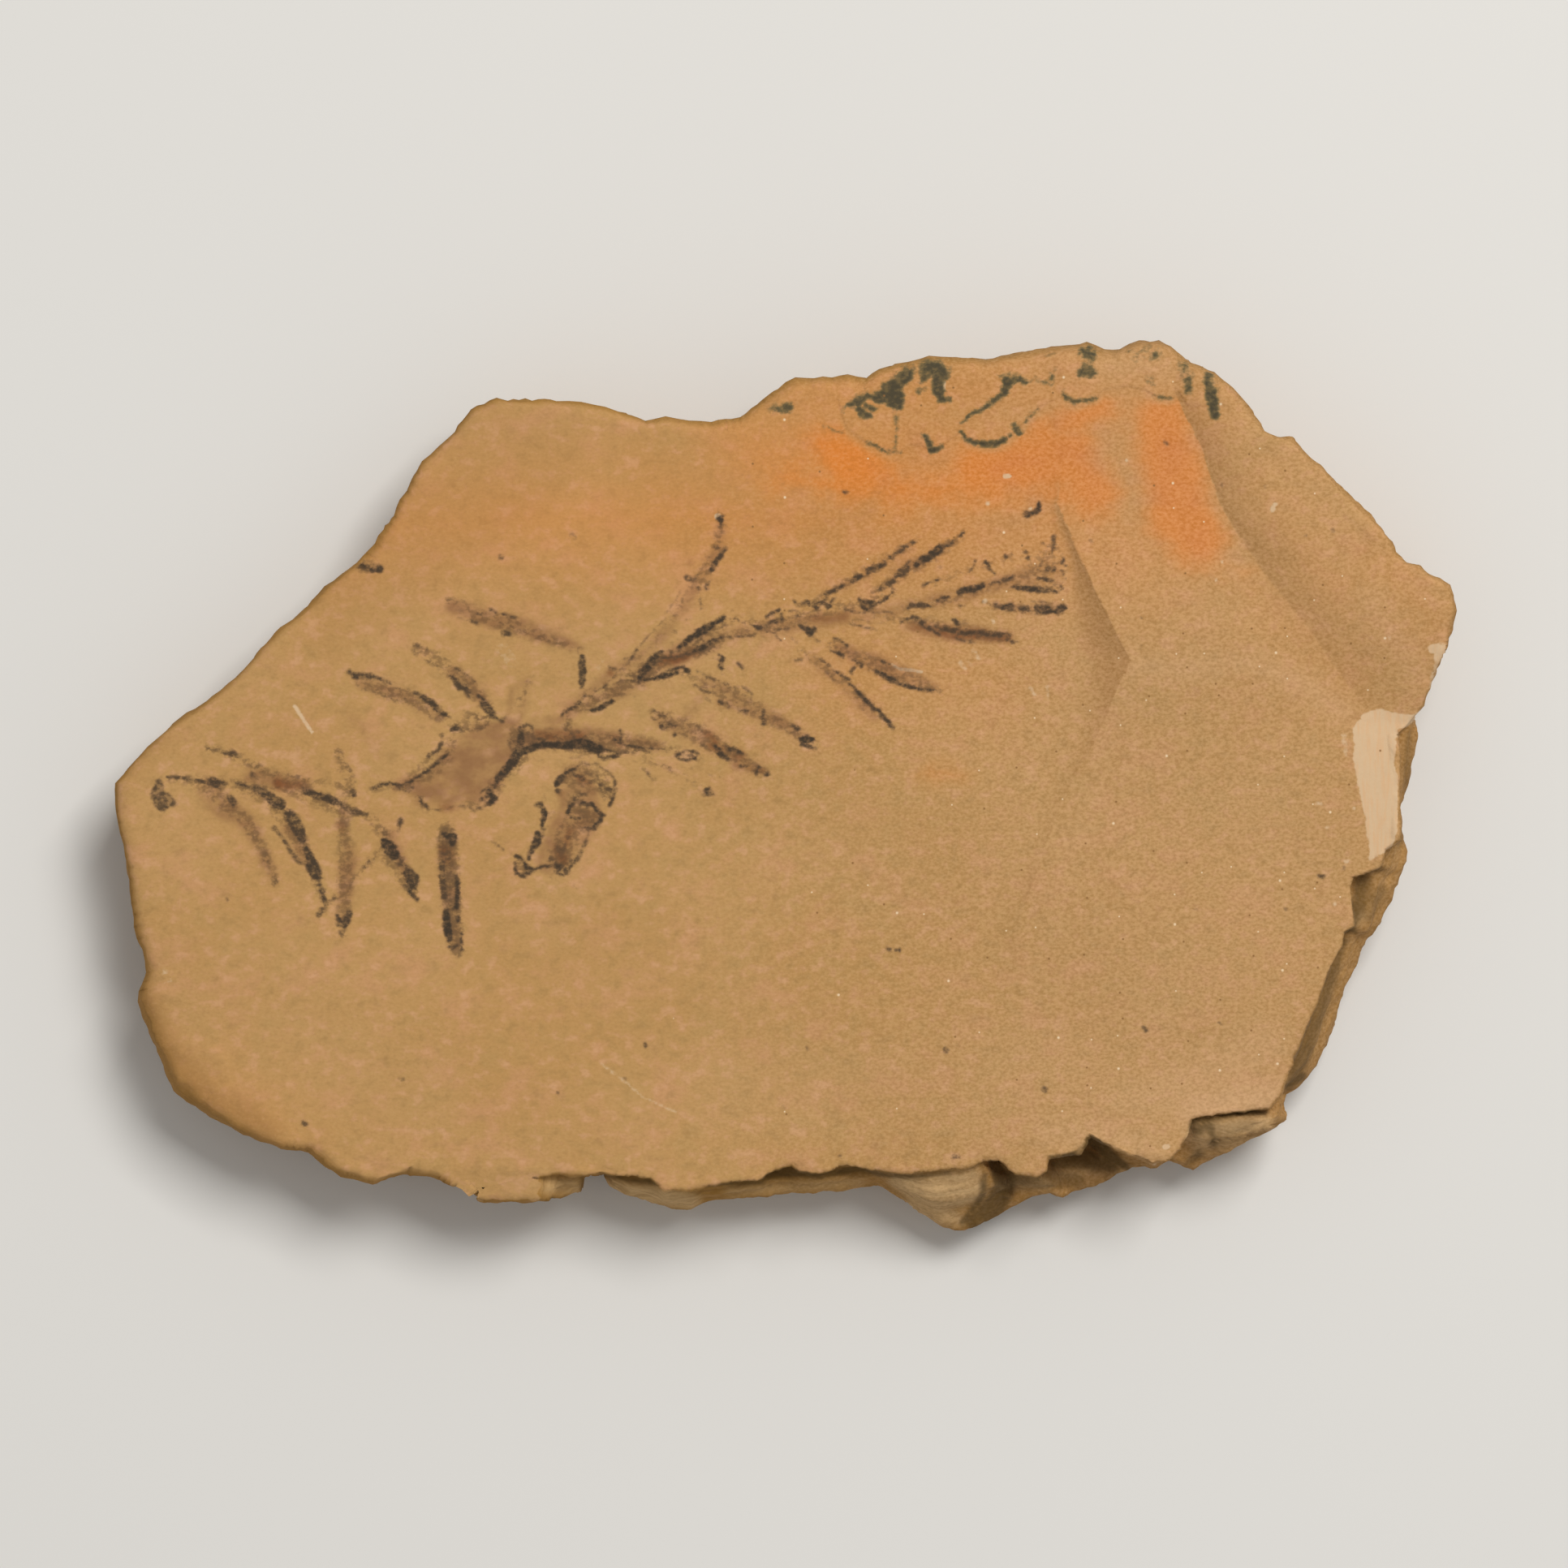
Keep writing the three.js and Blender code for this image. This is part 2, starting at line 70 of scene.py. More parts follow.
# The edge of the sheet of stone that the leaf's right end runs up to, from the back to the front:
# the place of its crest as x and y, its rise, and the width of the slope on its left.
SHEET_CREST = [
    (26.1, 30.2, 0.15, 2), (25.6, 26.4, 0.3, 1.6), (27.7, 21.4, 0.65, 1.6), (29.2, 18.1, 0.95, 3),
    (31.1, 14.3, 1, 4.8), (32.4, 11.8, 0.85, 5.6), (29.9, 5.9, 0.4, 3.5), (25.8, -2.1, 0.3, 2.4),
    (22.3, -11.7, 0.25, 2), (21.4, -17, 0.15, 2), (21.1, -25.8, 0, 2),
]
# The shoulder at the right-hand margin: the place of its foot, its rise, and the slope on its right.
SHOULDER_FOOT = [
    (36.5, 37, 0.5, 2.5), (37.7, 34.4, 0.9, 4), (39.1, 31.6, 1, 5), (40.8, 26.4, 1, 6),
    (43.2, 22.5, 0.95, 7), (45, 19.8, 0.8, 8), (49, 14.8, 0.7, 8), (53.4, 8.6, 0.4, 6),
    (55.5, 5.6, 0, 4),
]
# The trough that runs on from the shoulder toward the right edge.
TROUGH_FROM, TROUGH_TO = (44, 20), (56, 8)
TROUGH_DEPTH, TROUGH_HALF_WIDTH = 0.4, 3.4

# How strongly the slopes below the crest and above the foot are tinted with painted shade and a browner
# tone, and where that starts.
CREST_SHADE, CREST_EASE, FOOT_SHADE = 1.5, 0.15, 0.45

# A thin crust still lies on the face along the back edge. This is its broken front edge, from left
# to right.
CRUST_EDGE = [
    (4.8, 38), (5.3, 35), (5.9, 33.5), (6.9, 32.7), (7.8, 32.1), (8.7, 31.8), (9.4, 31.3),
    (10.8, 31.2), (11.7, 31.9), (12.8, 31.9), (13.8, 31.3), (14.7, 31.7), (15.9, 32.7),
    (16.6, 33.1), (17.4, 32.5), (18.5, 32.1), (19.7, 32), (20.7, 32.3), (21.6, 33.1), (22.5, 34),
    (23.3, 35), (24.2, 35.6), (25.4, 36.2), (26.1, 36.6), (26.5, 36.1), (27.4, 35.9), (29.2, 36.3),
    (29.9, 37.1), (32.2, 37.4), (33.9, 37), (34.7, 36.5), (36, 36.2), (36.9, 36.9), (37.7, 35.6),
]
CRUST_HEIGHT, CRUST_SLOPE = 0.12, 0.25  # how far it stands up, and how wide its edge is
CRUST_FADE = 2.2  # over which the iron stain ends at it

# Every mark on the stone is a brush stroke: how fully it covers, from 0 to 1, and then the points it
# passes through as (x, y, width) in millimetres. First the carbon film, the dark lines of the leaf.
CARBON = {
    "left_end": [
        (0.78, (-58.5, 0.2, 0.9), (-58.6, -0.9, 1.5), (-58.2, -1.8, 1.35)),
        (0.8, (-57.8, -1.2, 1.05), (-57.2, -1.7, 0.75)),
        (0.75, (-57.8, 0.8, 0.3), (-56.3, 0.7, 0.4), (-54.9, 0.5, 0.45), (-53.8, 0.2, 0.45)),
        (0.8, (-53.5, 0.4, 0.9), (-52.7, 0, 1.05)),
        (0.88, (-51.4, 0.2, 0.3), (-50.2, -0.1, 0.45), (-49.2, -0.4, 0.75), (-48.5, -0.8, 0.9),
         (-47.7, -1.5, 1.2), (-47.1, -1.8, 1.05)),
        (0.5, (-54, 3.5, 0.4), (-53, 3.3, 0.4)),
        (0.75, (-52.3, 3.1, 0.55), (-51.4, 2.9, 0.7), (-50.9, 2.7, 0.55)),
        (0.5, (-50.6, 2.5, 0.45), (-49.7, 2.1, 0.55), (-48.9, 1.6, 0.45)),
        (0.65, (-49.7, 1, 0.7), (-49.4, 0.8, 0.6)),
        (0.42, (-48.3, 1, 0.4), (-46.8, 1.1, 0.4), (-45.1, 0.8, 0.45), (-44.2, 0.4, 0.45)),
        (0.85, (-45, -0.5, 0.6), (-43.9, -0.9, 0.75), (-43, -1.1, 0.75), (-42.3, -1.4, 0.9),
         (-41.6, -1.7, 0.6)),
        (0.68, (-41.6, -1.7, 0.45), (-40.7, -2.3, 0.75), (-40, -2.5, 0.6), (-39.1, -2.7, 0.4)),
    ],
    "left_needles": [
        (0.45, (-41.7, 3.1, 0.75), (-41.2, 2.3, 0.45), (-40.6, 1.4, 0.45), (-40.3, 0.5, 0.55)),
        (0.8, (-40.4, -0.6, 0.7), (-40.3, -0.8, 0.6)),
        (0.75, (-51.9, -1.1, 0.7), (-51.5, -1.7, 0.7)),
        (0.45, (-50.2, -4.6, 0.45), (-49.5, -4.9, 0.4)),
        (0.6, (-47.7, -9, 0.75), (-47.9, -8.7, 0.6)),
        (0.4, (-48.3, -7.4, 0.6), (-48.6, -6.4, 0.55)),
        (0.8, (-46.4, -2.7, 1.05), (-45.9, -3.3, 1.35), (-45.4, -4.3, 1.2), (-45.1, -5.1, 0.75)),
        (0.85, (-44.8, -5.9, 0.6), (-44.4, -6.6, 0.9), (-44.2, -7.4, 1.2), (-43.9, -8.2, 1.2),
         (-43.6, -8.7, 0.75)),
        (0.85, (-43.5, -9.3, 0.45), (-43.2, -10, 0.55), (-43, -10.9, 0.45)),
        (0.75, (-43.2, -11.6, 0.55), (-43.6, -12.2, 0.6)),
        (0.7, (-47.7, -4, 0.6), (-47.2, -4.6, 0.4), (-46.5, -5.6, 0.45), (-45.9, -6.6, 0.55),
         (-45.3, -7.1, 0.7)),
        (0.6, (-43, -11.2, 0.45), (-42.5, -10.8, 0.45), (-42, -10.5, 0.4)),
        (0.5, (-40.7, -9.1, 0.55), (-40.2, -8.7, 0.45)),
        (0.65, (-39.2, -7.6, 0.55), (-38.6, -7, 0.55)),
        (0.85, (-41.8, -12.2, 0.45), (-41.6, -12.9, 0.7), (-41.1, -13, 0.75), (-40.7, -12, 0.7)),
        (0.55, (-41.4, -13.8, 0.6), (-41.3, -14, 0.45)),
        (0.5, (-37.7, -4, 0.6), (-37.1, -4.7, 0.75)),
        (0.95, (-37.4, -5.3, 0.9), (-36.9, -5.9, 1.3), (-36.5, -6.5, 1.05)),
        (0.65, (-36.1, -7, 0.75), (-35.6, -7.6, 0.75)),
        (0.85, (-35.2, -8.2, 1.05), (-34.8, -8.7, 1.35), (-34.8, -9.3, 1.2)),
        (0.9, (-35.4, -9.4, 0.45), (-35, -10, 0.55), (-34.4, -10.6, 0.45)),
        (0.4, (-37.7, -7, 0.45), (-37.1, -7.4, 0.4)),
        (0.75, (-35.9, -3.2, 0.55), (-36, -4, 0.4)),
        (0.4, (-36, -4, 0.4), (-36.4, -4.4, 0.3)),
    ],
    "hanging_needle": [
        (0.5, (-31.6, -4.6, 1.5), (-31.6, -5, 1.35)),
        (0.9, (-31.9, -4.6, 0.6), (-31, -4.8, 0.85), (-31.1, -5.4, 0.7)),
        (0.6, (-31.9, -5.9, 0.75), (-31.6, -6.5, 1.2)),
        (0.72, (-32, -7.3, 0.7), (-32, -8.5, 0.7), (-31.9, -9.7, 0.7), (-31.8, -10.4, 0.7)),
        (0.5, (-31.3, -7.3, 0.75), (-31.3, -8.5, 0.9), (-31.4, -9.7, 0.9), (-31.2, -10.5, 0.9)),
        (0.68, (-30.8, -8.4, 0.45), (-30.6, -8.8, 0.55)),
        (0.9, (-30.6, -9.1, 0.55), (-30.6, -10, 0.55), (-30.6, -10.8, 0.55), (-30.7, -11.4, 0.55)),
        (0.6, (-31.6, -10.6, 0.45), (-31.2, -11.1, 0.6), (-30.9, -11.6, 0.55)),
        (1, (-31.6, -11.7, 0.55), (-31.6, -12.5, 0.75), (-31.5, -13.4, 0.85), (-31.3, -14.3, 0.7)),
        (0.35, (-30.9, -12.2, 0.7), (-30.9, -13.2, 0.75), (-30.8, -14.3, 0.7)),
        (0.85, (-30.6, -12.3, 0.55), (-30.5, -12.7, 0.4)),
        (0.75, (-30.2, -13.7, 0.4), (-30.2, -14.6, 0.4), (-30.2, -15.4, 0.4), (-30.3, -15.7, 0.4)),
        (0.75, (-31.4, -15.1, 0.4), (-31.1, -15.2, 0.45), (-30.6, -15, 0.4)),
    ],
    "stem": [
        (0.85, (-38.68, -0.3, 0.38), (-37.92, 0, 0.46), (-36.94, 0.23, 0.38), (-36.02, 0, 0.3),
         (-35.04, 0.3, 0.38), (-34.28, 0.84, 0.38), (-33.52, 1.29, 0.38), (-32.91, 1.75, 0.38),
         (-32.38, 2.28, 0.53), (-31.92, 2.58, 0.46), (-31.46, 2.96, 0.3)),
        (0.7, (-33.29, 2.81, 0.53), (-32.6, 3.19, 0.46), (-32.07, 3.88, 0.61)),
        (0.6, (-32.07, 4.71, 0.53), (-32, 4.86, 0.46)),
        (0.65, (-36.33, -0.08, 0.23), (-35.8, -0.38, 0.38), (-35.19, -0.61, 0.46), (-34.73, -0.15, 0.3)),
        (0.9, (-31.16, 5.24, 0.38), (-30.7, 5.4, 0.61), (-30.25, 5.17, 0.46)),
        (0.6, (-30.17, 5.17, 0.23), (-29.18, 5.32, 0.3), (-28.35, 5.32, 0.3), (-27.82, 5.7, 0.3),
         (-27.59, 6.31, 0.3)),
        (0.5, (-29.49, 6.23, 0.3), (-29.34, 6.38, 0.3)),
        (0.45, (-28.88, 6.61, 0.3), (-28.5, 6, 0.3)),
        (0.9, (-28.42, 7.75, 0.38), (-27.82, 7.14, 0.68), (-27.36, 6.69, 0.61), (-26.83, 6.31, 0.3)),
        (0.7, (-26.83, 6.31, 0.23), (-26.37, 6, 0.46)),
        (0.75, (-34.12, -1.22, 0.46), (-33.74, -1.75, 0.53), (-33.29, -2.13, 0.3)),
        (0.55, (-33.14, -2.2, 0.3), (-32.3, -2.28, 0.38), (-31.46, -2.2, 0.3), (-30.7, -1.9, 0.23),
         (-29.79, -1.82, 0.3)),
        (0.65, (-29.79, -1.9, 0.3), (-28.96, -2.28, 0.38), (-28.2, -1.98, 0.38), (-27.51, -1.75, 0.3)),
        (0.8, (-28.35, -0.61, 0.3), (-27.82, -0.23, 0.38), (-27.28, -0.61, 0.38), (-27.21, -1.29, 0.38),
         (-27.74, -1.67, 0.46), (-28.27, -1.22, 0.38)),
        (0.9, (-24.85, 3.12, 1), (-25.46, 2.13, 1), (-26.14, 1.37, 0.84), (-26.83, 0.53, 0.68)),
        (0.7, (-26.83, 0.53, 0.68), (-27.36, -0.3, 0.61), (-27.74, -1.06, 0.68)),
        (0.95, (-27.66, -0.53, 0.61), (-27.21, -1.22, 0.84), (-27.59, -1.67, 0.61)),
        (0.4, (-24.78, 2.43, 0.76), (-25.69, 1.22, 0.61), (-26.6, 0.15, 0.61)),
        (0.92, (-24.7, 5.4, 0.46), (-24.62, 4.71, 0.61), (-24.7, 3.95, 0.84), (-24.78, 3.27, 0.9)),
        (0.7, (-24.7, 5.4, 0.38), (-24.17, 5.7, 0.38), (-23.64, 5.47, 0.38), (-23.41, 4.94, 0.3)),
        (0.6, (-25.54, 4.26, 0.9), (-25.23, 3.5, 0.9)),
        (0.5, (-23.94, 4.79, 0.68), (-23.41, 4.33, 0.61), (-23.86, 3.95, 0.61)),
        (0.97, (-24.7, 3.19, 0.76), (-24.02, 3.34, 0.84), (-23.26, 3.65, 0.68), (-22.5, 3.88, 0.68),
         (-21.58, 3.8, 0.68), (-20.67, 3.8, 0.76), (-19.91, 3.8, 0.84)),
        (0.97, (-19.91, 3.88, 0.84), (-19, 3.95, 1.1), (-18.09, 3.65, 1.1), (-17.33, 3.42, 0.9)),
        (0.9, (-17.33, 2.81, 0.46), (-16.87, 2.51, 0.38), (-16.26, 2.66, 0.46), (-15.58, 2.81, 0.38)),
        (0.75, (-17.33, 3.42, 0.76), (-16.72, 3.34, 0.38), (-16.11, 3.19, 0.3), (-15.5, 2.96, 0.3)),
        (0.85, (-15.88, 4.33, 0.38), (-15.5, 4.03, 0.3), (-14.74, 3.8, 0.3), (-13.68, 3.57, 0.3),
         (-12.31, 3.5, 0.3)),
        (0.5, (-12.31, 3.5, 0.23), (-11.1, 3.34, 0.3), (-10.18, 3.27, 0.23)),
        (0.85, (-15.35, 5.17, 0.3), (-15.2, 4.71, 0.53), (-15.35, 4.26, 0.3)),
        (0.5, (-16.57, 4.94, 0.38), (-16.26, 4.56, 0.3)),
        (0.6, (-15.5, 3.19, 0.3), (-14.97, 3.04, 0.46), (-14.36, 3.27, 0.3)),
        (0.6, (-14.36, 3.12, 0.23), (-13.38, 3.34, 0.23), (-12.62, 3.12, 0.23)),
        (0.6, (-12.62, 2.66, 0.23), (-12.01, 2.36, 0.23), (-11.25, 1.98, 0.23), (-10.64, 1.6, 0.23),
         (-10.11, 1.22, 0.23)),
        (0.35, (-14.14, 2.43, 0.3), (-13.22, 1.82, 0.3)),
        (0.65, (-13.22, 1.67, 0.23), (-12.77, 1.14, 0.38), (-12.39, 0.61, 0.3), (-11.86, 0.53, 0.23)),
        (0.85, (-10.18, 2.74, 0.3), (-9.73, 3.04, 0.38), (-9.12, 3.34, 0.3), (-8.51, 3.19, 0.38),
         (-8.06, 2.89, 0.38), (-8.36, 2.51, 0.3), (-9.12, 2.43, 0.38), (-9.73, 2.43, 0.3),
         (-10.18, 2.74, 0.23)),
        (0.6, (-9.27, 2.89, 0.3), (-8.66, 2.81, 0.3)),
        (0.4, (-12.16, 4.1, 0.3), (-11.4, 4.41, 0.23)),
        (0.4, (-11.7, 3.34, 0.3), (-10.94, 3.04, 0.3)),
        (0.35, (-10.03, 1.82, 0.23), (-8.66, 1.6, 0.23)),
        (0.4, (-7.07, 0.99, 0.23), (-6.69, 0.84, 0.23)),
        (0.4, (-6, 0.84, 0.23), (-5.78, 0.84, 0.23)),
        (0.7, (-22.95, 4.33, 0.53), (-22.42, 4.18, 0.53)),
        (0.6, (-19.91, 4.79, 0.53), (-19.68, 4.48, 0.46)),
        (0.55, (-19.38, 5.17, 0.3), (-19.23, 4.94, 0.3)),
        (0.6, (-21.43, 4.48, 0.46), (-20.82, 4.26, 0.46)),
        (0.5, (-18.85, 4.64, 0.38), (-18.09, 4.56, 0.38)),
        (0.5, (-18.39, 4.18, 0.61), (-17.48, 4.1, 0.46)),
        (0.45, (-20.37, 6.54, 0.38), (-20.22, 5.78, 0.46), (-20.44, 5.17, 0.46)),
        (0.35, (-23.26, 5.55, 0.38), (-22.34, 5.4, 0.3), (-21.43, 5.32, 0.3)),
        (0.35, (-23.64, 2.58, 0.3), (-22.65, 2.43, 0.3), (-21.43, 2.43, 0.23)),
        (0.4, (-20.98, 2.58, 0.23), (-19, 2.66, 0.3)),
        (0.85, (-7.37, -0.38, 0.3), (-7.07, -0.76, 0.53), (-6.54, -0.76, 0.23)),
        (0.6, (-7.6, -0.91, 0.3), (-7.14, -0.99, 0.23)),
        (0.3, (-25.92, -1.52, 0.46), (-25.84, -1.67, 0.38)),
        (0.5, (-26.14, 6.31, 0.46), (-26.45, 6.38, 0.38)),
    ],
    "cone": [
        (0.97, (-21.28, 0.08, 0.61), (-20.98, 0.61, 0.68), (-20.67, 0.91, 0.53)),
        (0.85, (-20.67, 0.91, 0.46), (-20.14, 1.37, 0.38), (-19.46, 1.67, 0.38), (-19, 2.05, 0.3)),
        (0.6, (-19, 2.2, 0.3), (-18.54, 2.05, 0.3), (-17.78, 2.05, 0.46), (-17.18, 1.75, 0.38),
         (-16.57, 1.37, 0.38)),
        (0.7, (-16.57, 1.37, 0.38), (-16.04, 0.91, 0.38), (-15.81, 0.3, 0.38), (-15.81, -0.46, 0.38)),
        (0.8, (-15.88, -0.46, 0.38), (-16.04, -1.22, 0.46), (-16.34, -1.82, 0.38)),
        (0.75, (-21.28, -0.38, 0.53), (-21.05, -0.61, 0.61)),
        (0.75, (-19.68, 1.06, 0.38), (-19.23, 0.84, 0.46), (-18.77, 0.61, 0.53)),
        (0.45, (-18.54, 1.22, 0.38), (-17.78, 0.99, 0.46), (-17.18, 0.61, 0.46)),
        (0.65, (-17.18, 0, 0.61), (-16.72, -0.46, 0.76), (-16.19, -0.38, 0.68)),
        (0.5, (-18.39, 0.23, 0.3), (-17.78, 0.46, 0.38)),
        (0.45, (-16.87, -1.06, 0.46), (-16.42, -1.22, 0.38)),
        (0.85, (-20.22, -2.51, 0.46), (-19.99, -1.82, 0.53), (-19.53, -1.44, 0.61), (-19, -1.6, 0.53),
         (-18.47, -1.82, 0.53), (-17.94, -1.75, 0.61)),
        (0.6, (-19.61, -1.22, 0.38), (-19, -0.84, 0.46), (-18.54, -0.76, 0.38)),
        (0.8, (-19.99, -2.89, 0.38), (-19.46, -3.12, 0.46), (-18.85, -2.96, 0.3)),
        (0.93, (-17.86, -1.9, 0.38), (-17.4, -2.43, 0.46), (-17.1, -2.74, 0.53), (-17.25, -3.34, 0.53),
         (-17.71, -3.88, 0.61)),
        (0.8, (-17.71, -3.95, 0.53), (-18.24, -4.1, 0.53), (-18.77, -3.8, 0.3)),
        (0.8, (-17.1, -2.74, 0.46), (-16.8, -2.81, 0.3)),
        (0.4, (-19.15, -2.28, 0.46), (-18.7, -2.51, 0.46)),
        (0.35, (-18.54, -2.96, 0.46), (-17.94, -3.34, 0.53)),
        (0.8, (-23.18, -1.75, 0.46), (-22.8, -1.67, 0.46), (-22.57, -2.05, 0.53)),
        (0.93, (-22.57, -2.13, 0.53), (-22.42, -2.74, 0.68), (-22.57, -3.34, 0.46),
         (-22.65, -3.95, 0.38)),
        (0.97, (-23.1, -4.56, 0.68), (-23.1, -5.24, 0.84), (-23.48, -5.78, 0.68)),
        (0.9, (-23.48, -5.78, 0.61), (-23.79, -6.31, 0.61), (-23.94, -6.84, 0.46)),
        (0.6, (-22.34, -4.1, 0.3), (-22.65, -4.79, 0.38)),
        (0.9, (-25.08, -6.61, 0.46), (-24.7, -6.84, 0.46), (-24.32, -7.22, 0.38), (-24.02, -7.68, 0.53)),
        (0.97, (-24.02, -7.68, 0.61), (-23.64, -7.83, 0.61), (-23.26, -7.83, 0.38)),
        (0.9, (-23.86, -8.06, 0.46), (-24.24, -8.44, 0.46), (-24.62, -8.44, 0.38)),
        (0.85, (-24.62, -8.44, 0.38), (-25.08, -8.21, 0.46), (-25.23, -7.68, 0.3), (-25.16, -7.14, 0.3)),
        (0.85, (-23.26, -7.75, 0.3), (-22.65, -7.6, 0.38), (-22.04, -7.52, 0.38), (-21.43, -7.6, 0.38),
         (-20.98, -7.9, 0.38)),
        (0.85, (-21.36, -7.45, 0.38), (-20.9, -7.6, 0.61), (-20.44, -7.9, 0.53), (-20.44, -8.28, 0.38)),
        (0.8, (-21.28, -8.13, 0.38), (-20.75, -8.36, 0.38), (-20.29, -8.21, 0.38)),
        (0.6, (-21.89, -6.84, 0.53), (-21.43, -7.07, 0.46)),
        (0.75, (-20.29, -8.13, 0.38), (-19.91, -7.52, 0.38), (-19.46, -6.99, 0.53), (-19.15, -6.54, 0.53),
         (-18.92, -6.08, 0.3)),
        (0.65, (-18.85, -5.85, 0.3), (-18.7, -5.47, 0.61), (-18.54, -5.17, 0.38)),
        (0.5, (-18.54, -5.02, 0.23), (-18.24, -4.41, 0.23)),
        (0.6, (-20.06, -7.14, 0.53), (-19.61, -6.99, 0.46)),
        (0.55, (-21.13, -5.78, 0.61), (-20.82, -6.23, 0.76), (-20.52, -5.47, 0.46)),
        (0.5, (-20.22, -4.71, 0.46), (-20.37, -5.32, 0.38)),
        (0.4, (-22.04, -3.04, 0.46), (-21.66, -2.58, 0.46)),
        (0.5, (-22.34, -1.22, 0.23), (-22.5, -0.76, 0.23)),
        (0.6, (-27.44, -5.17, 0.23), (-27.06, -5.4, 0.3)),
        (0.75, (-26.75, -5.62, 0.3), (-26.3, -5.93, 0.3)),
        (0.35, (-25.99, -6.16, 0.15), (-25.23, -6.54, 0.15)),
        (0.4, (-22.04, -8.44, 0.23), (-20.98, -9.12, 0.23)),
        (0.4, (-19.61, -9.42, 0.3), (-19.38, -9.58, 0.3)),
    ],
    "upper_left_needles": [
        (0.85, (-40.7, 10.6, 0.45), (-40.3, 10.3, 0.6), (-39.6, 10.2, 0.6), (-38.8, 10.3, 0.55),
         (-38.1, 10.1, 0.55), (-37.5, 9.8, 0.4), (-36.8, 9.5, 0.3)),
        (0.5, (-36.2, 9.1, 0.3), (-35.4, 8.8, 0.4)),
        (0.85, (-34.5, 8.7, 0.45), (-33.9, 8.4, 0.55), (-33.1, 7.8, 0.7), (-32.4, 7.1, 0.7),
         (-31.8, 6.7, 0.55), (-31.5, 6.5, 0.3)),
        (0.5, (-40, 9.5, 0.3), (-39.4, 9, 0.45), (-38.5, 8.8, 0.3), (-37.5, 8.4, 0.3), (-36.8, 8.1, 0.45),
         (-36.2, 7.9, 0.6), (-35.4, 8.1, 0.4)),
        (0.4, (-33.1, 6.5, 0.45), (-32.5, 6.1, 0.45), (-32, 6.1, 0.4)),
        (0.6, (-34.8, 13.3, 0.3), (-34.3, 13.1, 0.4), (-33.5, 12.8, 0.4)),
        (0.75, (-34.7, 12.5, 0.45), (-34.4, 12.3, 0.45)),
        (0.5, (-33.9, 11.9, 0.3), (-33.1, 11.5, 0.4), (-32.5, 11.2, 0.3)),
        (0.3, (-32.4, 12.5, 0.45), (-31.6, 11.9, 0.4)),
        (0.7, (-30.9, 11, 0.4), (-30.2, 10.6, 0.4), (-29.8, 10.3, 0.4), (-29.3, 10, 0.4),
         (-28.9, 9.7, 0.3)),
        (0.8, (-31.2, 10.3, 0.4), (-30.7, 9.7, 0.7), (-30.4, 9.2, 0.7), (-29.9, 9.2, 0.75)),
        (0.7, (-29.6, 8.8, 0.7), (-29.5, 8.4, 0.45)),
        (0.85, (-28.6, 8.4, 0.4), (-28.1, 7.8, 0.6), (-27.7, 7.1, 0.85), (-27.2, 6.8, 0.6)),
        (0.5, (-27.7, 6.7, 0.4), (-28, 6.1, 0.3), (-28.4, 5.5, 0.3), (-28.7, 5.1, 0.3)),
        (0.4, (-29.9, 7, 0.4), (-29, 6.5, 0.4), (-28, 5.9, 0.4)),
        (0.45, (-31.6, 17.4, 0.45), (-30.9, 17.4, 0.45), (-30.1, 17.2, 0.45)),
        (0.7, (-28.6, 16, 0.45), (-28.4, 16, 0.45)),
        (0.7, (-29.3, 15.4, 0.4), (-28.8, 15.2, 0.45)),
        (0.4, (-30.5, 15.8, 0.25), (-29.3, 15.4, 0.25)),
        (0.75, (-27.5, 16.4, 0.4), (-27, 16.3, 0.45)),
        (0.75, (-26.4, 16.1, 0.3), (-25.8, 15.9, 0.45), (-25.1, 15.7, 0.3)),
        (0.8, (-26.3, 14.3, 0.6), (-25.8, 14.2, 0.55)),
        (0.4, (-27.5, 15.6, 0.25), (-24.8, 14.6, 0.3), (-22.5, 13.8, 0.3), (-21, 13.3, 0.25)),
        (0.4, (-19.22, 12.77, 0.4), (-19.12, 12.67, 0.4)),
        (0.9, (-18.92, 12.07, 0.6), (-18.92, 11.37, 0.75), (-18.82, 10.67, 0.75), (-18.92, 9.67, 0.7),
         (-18.92, 9.27, 0.45)),
        (0.35, (-24, 9.9, 0.3), (-24.2, 9, 0.3), (-24.32, 8.05, 0.45), (-24.9, 8.1, 0.4)),
    ],
    "upright_needle": [
        (0.5, (-12.62, 13.98, 0.3), (-12.01, 14.67, 0.3), (-11.25, 15.66, 0.23)),
        (0.45, (-11.1, 16.04, 0.3), (-10.64, 16.72, 0.3), (-10.18, 17.33, 0.3), (-9.73, 18.09, 0.3)),
        (0.4, (-10.34, 15.81, 0.23), (-9.88, 16.72, 0.23), (-9.42, 17.48, 0.23)),
        (0.7, (-9.12, 19.45, 0.6), (-8.62, 19.35, 0.6), (-8.12, 19.65, 0.4)),
        (0.6, (-8.12, 18.55, 0.4), (-8.02, 18.35, 0.4)),
        (0.6, (-7.82, 16.67, 0.4), (-7.82, 17.47, 0.3)),
        (0.7, (-7.32, 18.55, 0.6), (-7.02, 19.05, 0.45)),
        (0.85, (-6.72, 20.25, 0.6), (-6.42, 20.85, 0.6), (-6.02, 21.45, 0.7), (-5.82, 21.85, 0.6),
         (-5.42, 22.25, 0.4)),
        (0.7, (-6.32, 22.35, 0.45), (-6.22, 22.25, 0.45)),
        (0.4, (-6.2, 24.3, 0.55), (-5.5, 24.2, 0.4)),
        (0.9, (-6.1, 24.9, 0.55), (-5.8, 25.2, 0.45), (-5.9, 24.5, 0.45)),
    ],
    "main_axis": [
